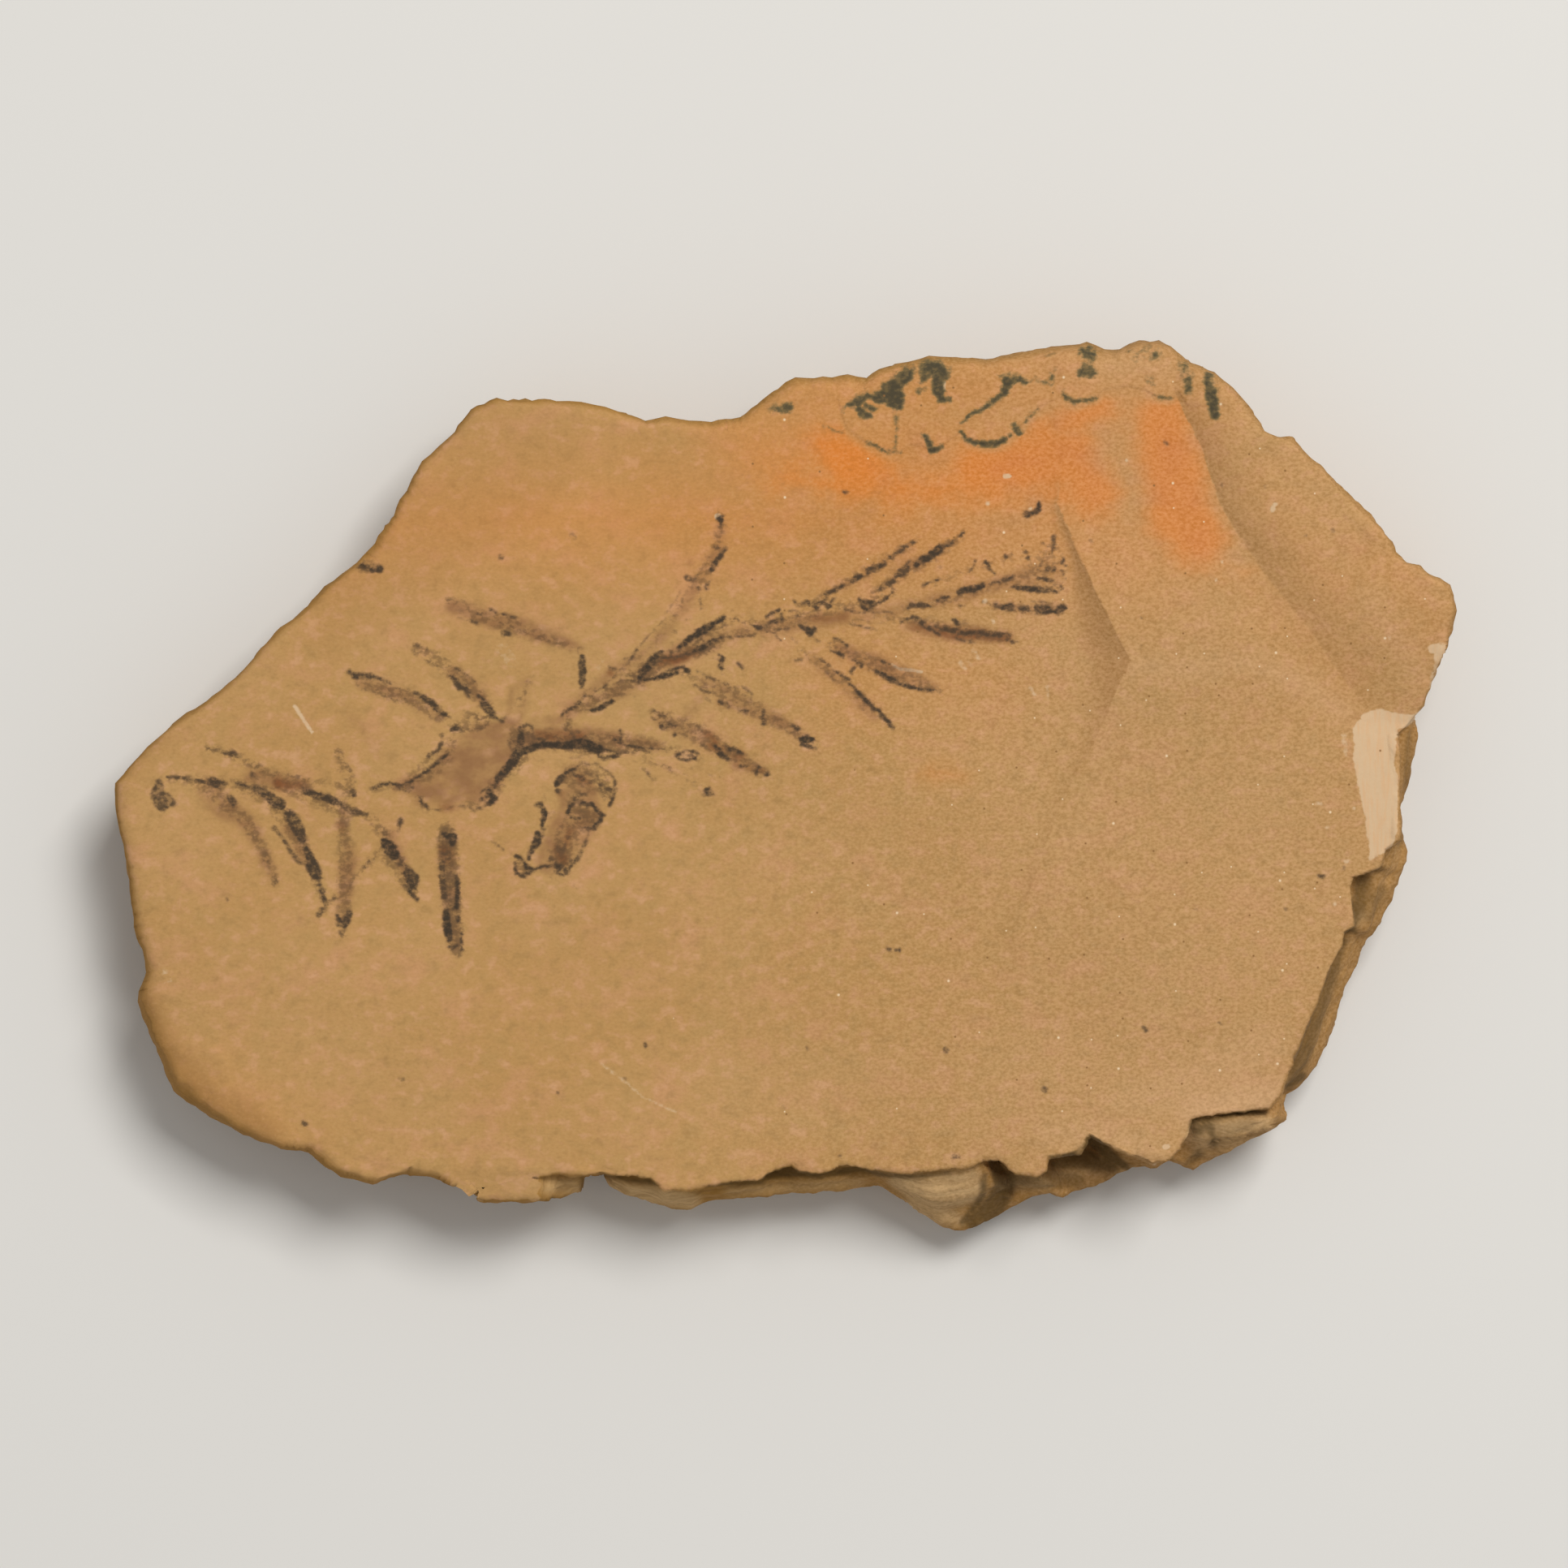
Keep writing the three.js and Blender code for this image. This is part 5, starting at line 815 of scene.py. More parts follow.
# Patches, scratches and chips of bare pale stone.
CHALK = {
    "fresh_break": [
        (1, (56.7, 5.7, 1.8), (55.78, 4.94, 3.3), (55.4, 3.88, 3.8), (55.18, 2.74, 3.8),
         (55.33, 1.52, 3.6), (55.56, 0.46, 3.8), (55.71, -0.61, 3.5), (55.78, -1.67, 3.2),
         (55.94, -2.89, 3), (55.94, -3.95, 2.9), (55.94, -4.86, 2.4), (55.63, -5.62, 1.7),
         (55.25, -6.23, 0.84), (54.87, -6.84, 0.38)),
        (1, (54.57, 6.23, 1.1), (55.78, 6.31, 1.7), (57, 6, 1.7), (58.22, 6.08, 1.1), (59.13, 6.38, 0.61),
         (59.74, 6.99, 0.3)),
        (0.9, (55.02, 6.76, 0.46), (56.09, 6.92, 0.46)),
        (0.5, (52.4, 4.6, 0.61), (52.6, 2.9, 0.38)),
        (1, (60.6, 12.8, 0.76), (61.3, 12.8, 1.1), (61.1, 11.9, 0.61)),
        (0.6, (61.1, 11.9, 0.46), (60.6, 9.7, 0.38), (60.4, 8.8, 0.23)),
        (1, (54.11, 5.78, 0.9), (53.81, 5.17, 1.1), (53.88, 4.26, 1.1)),
        (1, (53.66, 3.5, 0.68), (53.81, 2.43, 0.61)),
        (1, (53.96, 1.37, 0.46), (54.26, -0.53, 0.61)),
        (1, (54.72, -2.43, 0.61), (54.87, -4.71, 0.61)),
        (0.5, (52.44, 4.79, 0.38), (52.59, 3.5, 0.38)),
    ],
    "scratches": [
        (0.9, (-45.8, 7.4, 0.3), (-44.2, 5, 0.3)),
        (0.6, (-59, -16.5, 0.3), (-57, -18.7, 0.23)),
        (0.45, (-17.1, -26.1, 0.3), (-15.3, -27.4, 0.3), (-13.1, -29.2, 0.3), (-10.1, -30.6, 0.23)),
        (0.5, (17.7, 12.7, 0.46), (18.2, 11.9, 0.38)),
        (0.45, (16.5, 11.5, 0.46), (17, 10.9, 0.3)),
        (0.4, (17.3, 11.7, 0.3), (17.6, 11.1, 0.3)),
        (0.3, (-26.4, 12.8, 1.2), (-25.5, 11.6, 1.2)),
        (0.25, (-17.3, 11.4, 1.2), (-16.8, 10.9, 0.76)),
        (1, (10.1, 11.4, 0.15), (10.8, 10.9, 0.23), (11.7, 10.8, 0.23), (12.5, 10.7, 0.23),
         (12.9, 10.6, 0.23)),
        (0.6, (23.1, 9.1, 0.38), (23.5, 8.5, 0.3)),
        (0.5, (24.6, 9.3, 0.38), (24.8, 8.2, 0.23)),
    ],
    "chips": [
        (1, (20.7, 29, 0.38), (21.1, 29, 0.38)),
        (0.8, (19, 26.4, 0.3), (19.1, 26.4, 0.3)),
        (0.9, (15, 37.7, 0.3), (15, 37.2, 0.3)),
        (0.9, (23, 25.9, 0.3), (23.1, 25.9, 0.3)),
        (1, (-6.2, 25.2, 0.53), (-6.1, 25.2, 0.46)),
        (0.9, (32.1, 30.4, 0.3), (32.1, 30.4, 0.3)),
        (0.8, (40.4, 19.2, 0.3), (40.4, 19.2, 0.3)),
        (0.8, (41, 20.9, 0.3), (41, 20.9, 0.3)),
        (0.9, (45.9, 26.3, 0.38), (45.6, 25.7, 0.38)),
        (1, (35.7, -33.8, 0.46), (35.9, -33.8, 0.46)),
        (0.8, (34.9, -35.7, 0.38), (35, -35.7, 0.38)),
        (0.8, (18.8, 17.3, 0.38), (18.8, 17.2, 0.38)),
        (0.8, (19.6, 15.4, 0.3), (19.6, 15.3, 0.3)),
        (0.7, (49.9, -1.7, 0.38), (50.2, -1.7, 0.3)),
        (0.7, (53.4, -2.1, 0.3), (53.4, -2.1, 0.3)),
        (0.7, (50.8, -3.9, 0.38), (50.9, -3.9, 0.38)),
        (0.7, (52.6, -7.1, 0.38), (52.8, -7.1, 0.3)),
        (0.7, (51.6, -11, 0.3), (51.6, -11.1, 0.3)),
        (0.6, (56.5, 13.8, 0.3), (56.6, 13.8, 0.3)),
    ],
}
# Freshly broken parts of the sides, paler than the weathered ones, and painted light that lifts the shade
# on the ledges under the front lip.
FRESH_AND_LIT = {
    "facets": [
        (0.88, (10.6, -37.2, 1.1), (14, -38.5, 3.5), (16.9, -37.9, 3)),
        (0.65, (12.5, -39.7, 2.3), (14.7, -40.4, 2.3), (16.4, -40.9, 1.2)),
        (0.7, (17.8, -36.8, 1.5), (18.2, -38.1, 1.4)),
        (0.45, (20.4, -37.5, 1.1), (24.6, -37.4, 1.5)),
        (0.35, (25.4, -36.6, 1.2), (33, -36.6, 1.1)),
        (0.7, (38.3, -32.7, 1.8), (45.1, -31.7, 1.6)),
        (0.5, (39, -34, 1.5), (45, -33.2, 1.2)),
    ],
    "flakes": [
        (0.5, (-22, -37.6, 1.6), (-19.8, -37.6, 1.8)),
        (0.7, (-16.8, -37.5, 0.8), (-12.6, -38.5, 1.8), (-8.8, -39.2, 1.7)),
        (0.4, (-5, -38.2, 1.1), (7.1, -37.4, 1.1)),
    ],
    "right_side": [
        (0.2, (47.4, -27.9, 1.1), (50.1, -24.5, 1.2), (51.6, -19.2, 1.1), (53.4, -13.8, 0.9),
         (55.8, -10.8, 1.1), (57.5, -7, 1.1), (58.3, -2.4, 0.8)),
        (0.5, (53.4, -13.1, 0.8), (54.3, -12.3, 0.9)),
    ],
}

# Painted shade: darker strokes along the folds and the trough, and over the left and back left margins.
SHADE_STROKES = {
    "folds": [
        (0.5, (12.8, 32.5, 0.2), (11.3, 29.9, 0.5), (9, 27.2, 0.6), (6.4, 25.3, 0.7), (3, 23.6, 0.7)),
        (0.5, (28, 31, 0.2), (25.4, 28.7, 0.5), (24.2, 26.3, 0.6), (20.4, 23.8, 0.8)),
        (0.45, (34.1, 24.2, 0.2), (37.2, 21.1, 0.4), (40.6, 19.2, 0.5), (44, 17.7, 0.4)),
        (0.32, (43.6, 21.1, 1.2), (48.2, 14.3, 3), (54.3, 8.2, 3.5)),
    ],
    "margins": [
        (1, (-60, -19.5, 0.9), (-57.8, -25.2, 2.3), (-53.5, -29.6, 1.7), (-48.3, -32.1, 0.9)),
        (0.5, (-61.3, 1.7, 1.2), (-55.6, 7.8, 1.1), (-48.3, 15, 1.1), (-44.2, 21.1, 0.9),
         (-40, 28.7, 0.8)),
        (0.32, (-24.8, 31, 11.4), (-32.4, 23.4, 8.4), (-43, 14.3, 6.1)),
        (0.15, (-56.7, -17.6, 6.8), (-52.1, -24.5, 6.8)),
    ],
}
# Painted light: paler strokes along the crest ridges, the back and right rims, the middle of the front,
# and the step and the flake under the front lip.
LIGHT_STROKES = {
    "bands": [
        (0.7, (32.1, 11.2, 0.3), (38.2, 10.8, 0.5), (43.5, 11.6, 0.6), (48.8, 9.4, 0.9),
         (52.4, 6.8, 0.9)),
        (0.35, (32.1, 11.2, 0.2), (29.2, 0.6, 0.3), (25.4, -12.3, 0.3), (21.1, -25.8, 0.3)),
        (0.5, (30.3, 39.2, 1.2), (36, 39.2, 1.5)),
        (0.45, (31.5, -29.8, 3), (39.1, -27.5, 4.6), (45.1, -24.5, 4.6)),
        (0.4, (55, 17.3, 2.3), (59.2, 10.5, 1.5)),
        (0.18, (-6.5, -29, 8.4), (8.7, -28.6, 9.9), (24.6, -26.8, 9.9)),
        (0.9, (38.3, -30.4, 2.6), (42.9, -29.6, 3.2), (45.9, -29, 2.4)),
        (0.5, (24.6, -32.5, 2.3), (30.7, -32.8, 3), (34.5, -34.4, 1.8)),
        (0.4, (-25, -37.6, 1), (-22, -37.2, 1)),
    ],
}
# Painted shade: dark strokes under the lips and on the undercuts and the dark facets of the sides.
UNDERCUT_SHADE_STROKES = {
    "front": [
        (0.6, (-19, -36.6, 0.2), (-18.9, -38.6, 0.3)),
        (0.8, (-17.2, -36.6, 0.2), (-12.6, -37.2, 0.4), (-7.7, -37.3, 0.3), (-2, -37.3, 0.3)),
        (0.85, (-1.8, -36.7, 0.6), (-0.1, -36.3, 0.9), (1.8, -36.3, 0.8), (3.5, -36.7, 0.3)),
        (0.85, (3.5, -36.6, 0.3), (5.6, -36.2, 0.6), (7.1, -36, 0.4), (9, -36.5, 0.3), (12.5, -36.7, 0.2),
         (15.5, -36.3, 0.1)),
        (0.6, (21.1, -37.2, 2), (19.8, -39.7, 2.3), (17.8, -41.3, 1.4)),
        (0.95, (19.5, -35.3, 0.5), (20.1, -36.4, 1), (20, -37.2, 0.5)),
        (0.45, (21.6, -37, 1.5), (24.6, -37, 2), (27.7, -37.4, 1.5)),
        (0.95, (24.9, -34.7, 0.4), (26.8, -34.6, 0.5), (27.8, -33.9, 0.7), (28.7, -33, 0.7),
         (29.3, -33.6, 1.1), (30.4, -34.6, 0.9), (31.8, -35.7, 0.6), (32.8, -36.3, 0.2)),
        (0.6, (25.5, -35.7, 1.1), (28.4, -35.3, 2), (31.2, -36, 1.1)),
        (0.9, (37.7, -31.5, 0.3), (40.6, -31.2, 0.3), (42.9, -30.6, 0.4), (45.1, -30.6, 0.2)),
        (0.6, (38, -31.9, 0.6), (38.9, -32.4, 1.1), (40, -31.8, 0.8)),
        (0.65, (40.1, -31.8, 0.6), (40.4, -33.7, 0.7)),
        (0.5, (39.1, -34.7, 0.9), (38.2, -35.6, 0.6)),
        (0.3, (41.3, -32.5, 1.8), (43.6, -31.7, 1.5)),
        (0.75, (18.8, -36.8, 0.5), (18.7, -38.5, 0.5), (17.8, -40, 0.5), (16.9, -41.3, 0.5)),
        (0.5, (14.7, -35.9, 0.2), (16.6, -35.6, 0.2), (18.5, -35.3, 0.2)),
    ],
    "right_side": [
        (0.7, (53.4, -8, 0.3), (55, -7.8, 0.5), (56.2, -7.8, 0.3)),
        (0.55, (54.4, -8.9, 1.4), (54, -11.2, 1.7), (53.4, -13.1, 0.9)),
        (0.95, (52.4, -13.6, 0.2), (53.7, -13.6, 0.3)),
        (0.35, (56.2, -10, 1.5), (55, -12.3, 1.1)),
        (0.5, (52.7, -14.6, 0.8), (51.6, -17.6, 1.2), (50.1, -21.8, 1.7), (48.6, -26, 1.7),
         (47.7, -28.1, 1.1)),
        (0.75, (47.4, -28.4, 0.6), (48.8, -27.4, 0.8)),
        (0.35, (58.7, 4.8, 0.9), (58.5, 2.1, 1.1), (58.8, -1.3, 0.9), (57.9, -5.5, 0.9)),
    ],
}
# What the material reads from the mesh: how fully each kind of mark covers, and over how many
# millimetres it fades out at its edge. Some of these marks are painted light and painted shade.
COVERS = {
    "leaf": (CARBON, 0.34), "fill": (FILL, 0.7), "wash": (WASH, 0.9), "oxide": (RUST, 0.8),
    "black": (MANGANESE, 0.5), "painted_shade": (SHADE_STROKES, 4), "pale": (LIGHT_STROKES, 3.5), "undercut_shade": (UNDERCUT_SHADE_STROKES, 0.7),
    "stain": (IRON, 9.5), "warm": (WARMTH, 16), "bare": (CHALK, 0.25), "fresh_and_lit": (FRESH_AND_LIT, 1.2),
}
EDGE_COVER = 0.6  # how fully a stroke covers at its very edge
# The marks that end at the rim: they fade out from this many millimetres below the bedding plane.
DRAWN, DRAWN_DEPTH = ("leaf", "fill", "wash", "oxide", "black"), 0.8
# Noise patterns of the material: the size of their spots in millimetres along x, y and z, and their
# detail.
PATTERNS = {
    "patches": ((17, 15, 15), 2),
    "clouds": ((3.6, 3, 3), 3),
    "tinge": ((1.4, 1.1, 1.1), 2),
    "mottle": ((0.36, 0.27, 0.3), 4),
    "flecks": ((0.55, 0.45, 0.45), 3),
    "tones": ((2.2, 1.6, 1.6), 2),
    "streaks": ((0.35, 2.5, 2), 3),
    "beds": ((7, 7, 0.3), 3),
}
# Where each tint lies: one signal, what is done with a second, the range that is turned into a soft
# mask, and how strongly the mask tints.
MASKS = {
    "ochre_patches": ("patches", "MULTIPLY", 1, 0.35, 0.65, 0.5),
    "rose_clouds": ("clouds", "MULTIPLY", 1, 0.5, 0.75, 0.38),
    "olive_clouds": ("clouds", "MULTIPLY", 1, 0.5, 0.25, 0.22),
    "rose_tinge": ("tinge", "MULTIPLY", 1, 0.5, 0.75, 0.4),
    "olive_tinge": ("tinge", "MULTIPLY", 1, 0.5, 0.25, 0.2),
    "dark_tinge": ("tinge", "MULTIPLY", 1, 0.48, 0.2, 0.24),
    "light_tinge": ("tinge", "MULTIPLY", 1, 0.52, 0.8, 0.36),
    "warm_stone": ("warm", "MULTIPLY", 1, 0, 1, 0.75),
    "dark_mottle": ("mottle", "MULTIPLY", "coarse", 0.3, 0.7, 0.34),
    "light_mottle": ("coarse", "SUBTRACT", "mottle", 0.25, 0.75, 0.36),
    # painted shade, with a browner tone, on the slopes below the sheet's crest and above the shoulder's
    # foot
    "shaded_slope": ("slope_tone_and_shade", "MULTIPLY", 1, 0.05, 0.7, 0.75),
    "open_stain": ("stain", "MULTIPLY", "below_crust", 0, 1, 1),
    "stain_gaps": ("clouds", "MULTIPLY", 1, 0.3, 0.75, 0.2),
    "patchy_stain": ("open_stain", "SUBTRACT", "stain_gaps", 0, 1, 1),
    # painted shade along the folds and the trough and over the margins
    "shaded_stone": ("painted_shade", "MULTIPLY", 1, 0, 1, 0.75),
    # painted light along the ridges, the rims and the front ledges
    "lit_stone": ("pale", "MULTIPLY", 1, 0, 1, 0.7),
    # painted shade under the lips and on the dark facets of the sides
    "shaded_undercuts": ("undercut_shade", "SUBTRACT", "face", 0, 0.7, 0.7),
    "iron_stain": ("patchy_stain", "SUBTRACT", "shaded_slope", 0, 0.8, 0.86),
    "brick_stain": ("open_stain", "MULTIPLY", "clouds", 0.25, 0.65, 0.4),
    "broken_side": ("face", "SUBTRACT", 0, 0.35, 0.0, 0.9),
    "dark_beds": ("beds", "SUBTRACT", "face", 0.38, 0.68, 0.42),
    # pale freshly broken stone, and painted light on the ledges under the front lip
    "fresh_and_lit_side": ("fresh_and_lit", "SUBTRACT", "face", 0, 0.8, 0.9),
    "speckle": ("flecks", "MULTIPLY", 1, 0.35, 0.7, 0.36),
    "bare_stone": ("bare", "SUBTRACT", "speckle", 0, 0.75, 0.9),
    "bare_streaks": ("bare_stone", "MULTIPLY", "streaks", 0.38, 0.6, 0.6),
    "tint": ("wash", "MULTIPLY", "tones", 0.0, 0.36, 0.75),
    "rusty_film": ("oxide", "MULTIPLY", "tones", 0.0, 0.4, 0.85),
    "broken_film": ("fill", "SUBTRACT", "speckle", 0, 0.5, 0.6),
    "film": ("leaf", "SUBTRACT", "speckle", 0, 0.75, 0.75),
    "thick_film": ("leaf", "SUBTRACT", "speckle", 0.4, 1, 0.88),
    "thin_manganese": ("black", "SUBTRACT", "speckle", 0, 0.6, 0.85),
    "thick_manganese": ("black", "SUBTRACT", "speckle", 0.3, 0.95, 0.8),
}
# The tint of each mask, from the lowest layer to the highest. Some of these layers are painted shade and
# painted light.
LAYERS = (
    ("ochre_patches", "ochre"), ("rose_clouds", "rose"), ("olive_clouds", "olive"),
    ("rose_tinge", "rose"), ("olive_tinge", "olive"), ("dark_tinge", "shade"),
    ("light_tinge", "light"), ("warm_stone", "iron"), ("shaded_stone", "slope_tone_and_shade"),
    ("lit_stone", "light"), ("shaded_slope", "slope_tone_and_shade"), ("iron_stain", "iron"), ("brick_stain", "brick"),
    ("broken_side", "side"), ("fresh_and_lit_side", "fresh_and_lit"), ("dark_beds", "seam"),
    ("dark_mottle", "shade"), ("light_mottle", "light"), ("shaded_undercuts", "undercut_shade"),
    ("bare_stone", "chalk"), ("bare_streaks", "light"), ("tint", "sepia"), ("rusty_film", "rust"),
    ("broken_film", "umber"), ("film", "umber"), ("thick_film", "carbon"),
    ("thin_manganese", "moss"), ("thick_manganese", "manganese"),
)
# Specks strewn over the face: how far apart, how large, in what share of the places, and their tint.
SPECKS = (
    (2.6, 0.22, 0.12, "mica"),
    (5.1, 0.34, 0.18, "mica"),
    (3.1, 0.3, 0.25, "shade"),
)
SPECK_CORE = 0.25  # the share of a speck's width that has its full tint
RELIEF = {"mottle": 0.02, "beds": 0.06}  # height in millimetres of a pattern's relief
STONE_ROUGHNESS, FILM_ROUGHNESS = 0.92, 0.7
STONE_SHEEN = 0.3  # how strongly the stone reflects, as the shader counts it
PATTERN_ROUGHNESS = 0.55  # how strong the finer detail of a noise pattern is

# The stage, in metres but for the view's centre, which is in millimetres from the stone's own.
VIEW_CENTRE_Y = 0.15
KEY_PLACE, KEY_SIZE = (0.39, 0.54, 1.17), 0.52
FLOOR_ROUGHNESS = 0.9

# How finely the skin is divided, beside the sizes that a user may change.
WELD = 0.001  # corners closer than this are one
REACH = 2  # strokes further off than this don't make the skin finer
FILM_MARGIN = 0.15  # how far round a stroke the skin stays as fine as under it
BROAD_EASE = 0.45  # this much coarser under the broad fills and along the creases
SPACING_GROWTH = 0.5  # how much coarser it gets with each millimetre from there
FACE_DEPTH = 0.35  # below the bedding plane by less than this, the skin is the split face
LEDGES_FRONT_OF, LEDGES_RIGHT_OF = -24, 44  # where the lower beds stand out past the split face
LIP_DEPTHS = (0.04, 0.9)  # and over them its lip lies between these depths below the bedding plane
BASE_HEIGHT = 0.02  # below this height the skin is the underside

# How deep the weather and the breaks have worked, and over what length, in millimetres.
FLAKES = (0.35, (4.5, 4.5, 2.6))  # depth and size of the flakes broken off the sides
LAMINAE = (0.16, (3, 3, 0.6))  # the thin beds that show on the sides
CHIPS = (0.11, (0.8, 0.8, 1.6))  # small ones along the lip and the sides
DIMPLES = (0.035, 2.6)  # on the split face
PITTING = (0.012, 0.9)
HOLLOWS = (0.5, 9)  # in the underside
# The grain grows coarser to the right: how coarse it is at the middle, over how many millimetres it
# grows by one, and its limits.
COARSE_MIDDLE, COARSENING, COARSENESS = 0.82, 160, (0.74, 1)
RIM_CRISPNESS = 6  # from 1, a rim worn round, upward
TEETH = (0.32, (1.1, 1.1, 4))  # of the broken front rim
TEETH_DEPTH = 1.2  # they fade out over this depth below the bedding plane
# The front of the notch in the front edge: its y at each x.
NOTCH = ((-19.1, -45), (-19, -36.6), (-17.5, -36.6), (-15.6, -38.3), (-15.5, -45))
# Lower beds that come up to the split face or near it, the bent flake left of the notch and the shallow
# step at the right front: the middle, half the size, how steeply it falls, and how far it is raised.
RAISED = (
    ((-27, -37.5), (5.8, 1.8), 0.22, 1),
    ((42.2, -33.6), (5.6, 3.6), 0.2, 0.7),
)
RAISED_EASE, RAISED_DEPTH = 0.35, 4  # how much of its half size slopes up, and how deep it lay at most
JOINED = 0.9  # from here on, a raised bed is one with the split face
BASE_FADE = 2.5  # the sides' breaks fade out over this height above the underside
SHARP_FROM = 48  # degrees between two facets, from which their edge stays sharp


def linear(colour):
    """The linear RGBA of an sRGB hex colour."""
    channels = [int(colour[i:i + 2], 16) / 255 for i in (1, 3, 5)]
    return [c / 12.92 if c < 0.04045 else ((c + 0.055) / 1.055) ** 2.4 for c in channels] + [1]


def segment_distance(x, y, start, end):
    """Distance of each point to a straight segment, and how far along it the nearest place is."""
    dx, dy = end[0] - start[0], end[1] - start[1]
    along = ((x - start[0]) * dx + (y - start[1]) * dy) / max(dx * dx + dy * dy, 1e-9)
    along = np.clip(along, 0, 1)
    return np.hypot(x - start[0] - along * dx, y - start[1] - along * dy), along


def crease_at(stations, y):
    """The x, rise and slope of a crease at each y, blended between its stations."""
    ordered = np.array(stations[::-1], dtype=float)
    return [np.interp(y, ordered[:, 1], ordered[:, column]) for column in (0, 2, 3)]


def bedding(x, y):
    """Height of the bedding plane: its swell, the sheet, the shoulder and the trough."""
    along_x, along_y = x / SWELL_LENGTH + SWELL_PHASES[0], y / SWELL_LENGTH + SWELL_PHASES[1]
    swell = SWELL_HEIGHT * np.sin(along_x) * np.cos(along_y)
    ripple = RIPPLE_HEIGHT * np.sin((x + RIPPLE_SLANT * y) / RIPPLE_LENGTH)
    crest, rise, slope = crease_at(SHEET_CREST, y)
    sheet = rise * np.clip(1 + (x - crest) / slope, 0, 1) ** 2
    foot, rise, slope = crease_at(SHOULDER_FOOT, y)
    ascent = np.clip((x - foot) / slope, 0, 1)
    shoulder = rise * ascent * (2 - ascent)
    off_trough = segment_distance(x, y, TROUGH_FROM, TROUGH_TO)[0] / TROUGH_HALF_WIDTH
    return THICKNESS + swell + ripple + sheet + shoulder - TROUGH_DEPTH * np.exp(-off_trough**2)


def on_crust(x, y, fade):
    """How fully each point lies on the crust along the back edge, blended over that many millimetres."""
    edge_x, edge_y = np.array(CRUST_EDGE).T
    past = (y - np.interp(x, edge_x, edge_y)) / fade
    return np.clip(0.5 + past, 0, 1)


def slope_tone_and_shade(x, y):
    """How much painted shade, with a browner tone, each point gets on the slope of a crease: to the left
    of the sheet's crest, or to the right of the shoulder's foot."""
    crest, rise, slope = crease_at(SHEET_CREST, y)
    climb = 1 + (x - crest) / slope
    below_crest = rise * climb * ((climb > 0) & (climb < 1))
    foot, rise, slope = crease_at(SHOULDER_FOOT, y)
    ascent = (x - foot) / slope
    above_foot = rise * (1 - ascent) * ((ascent > 0) & (ascent < 1))
    return np.clip(CREST_SHADE * below_crest - CREST_EASE, 0, 1) + FOOT_SHADE * above_foot


def every(groups):
    """All the strokes of several groups in one list."""
    return [stroke for group in groups for stroke in group]


def near_strokes(x, y, strokes, reach):
    """For each stretch of each stroke: which points lie within reach of it, how far they are from its
    edge (negative inside), and how fully the stroke covers."""
    order = np.argsort(x)
    sorted_x = x[order]
    for cover, *stations in strokes:
        for (ax, ay, a_width), (bx, by, b_width) in zip(stations, stations[1:]):
            margin = reach + max(a_width, b_width) / 2
            low, high = np.searchsorted(sorted_x, [min(ax, bx) - margin, max(ax, bx) + margin])
            chosen = order[low:high]
            chosen = chosen[np.abs(y[chosen] - (ay + by) / 2) < abs(ay - by) / 2 + margin]
            distance, along = segment_distance(x[chosen], y[chosen], (ax, ay), (bx, by))
            yield chosen, distance - (a_width + (b_width - a_width) * along) / 2, cover


def gap_to(x, y, strokes, reach):
    """Distance from each point to the edge of the nearest stroke: zero under it, at most reach."""
    gap = np.full(len(x), float(reach))
    for chosen, edge, _ in near_strokes(x, y, strokes, reach):
        gap[chosen] = np.minimum(gap[chosen], np.maximum(edge, 0))
    return gap


def brushed(x, y, strokes, fade):
    """How fully the strokes cover each point, fading out across each edge over that many millimetres."""
    cover = np.zeros(len(x))
    for chosen, edge, full in near_strokes(x, y, strokes, fade):
        cover[chosen] = np.maximum(cover[chosen], full * np.clip(EDGE_COVER - edge / fade, 0, 1))
    return cover


def waves(points, length):
    """Repeatable noise from about -1 to 1 at each point, its waves as long as given along x, y and z."""
    hurst, lacunarity, octaves = 1.0, 2.0, 3
    return np.array([noise.fractal(step, hurst, lacunarity, octaves) for step in points / length])


def merged_copy(node):
    """A bmesh of a frame node's skin with its shared corners joined."""
    bm = bmesh.new()
    bm.from_mesh(node.data)
    bmesh.ops.remove_doubles(bm, verts=bm.verts, dist=WELD * MM)
    return bm


def places(bm):
    """The places of a bmesh's corners in millimetres, one row each."""
    return np.array([vertex.co[:] for vertex in bm.verts]) / MM


def mark_face(bm):
    """Marks the corners that lie on the bedding plane with 1 and the rest with 0, before refining
    blends the mark between them, and returns its layer."""
    layer = bm.verts.layers.float.new("face")
    x, y, z = places(bm).T
    close = 0.01
    for vertex, off in zip(bm.verts, np.abs(bedding(x, y) - z)):
        vertex[layer] = float(off < close)
    return layer


def line(stations):
    """The places of a crease or an edge as the points of a stroke without width."""
    return [(x, y, 0) for x, y, *_ in stations]


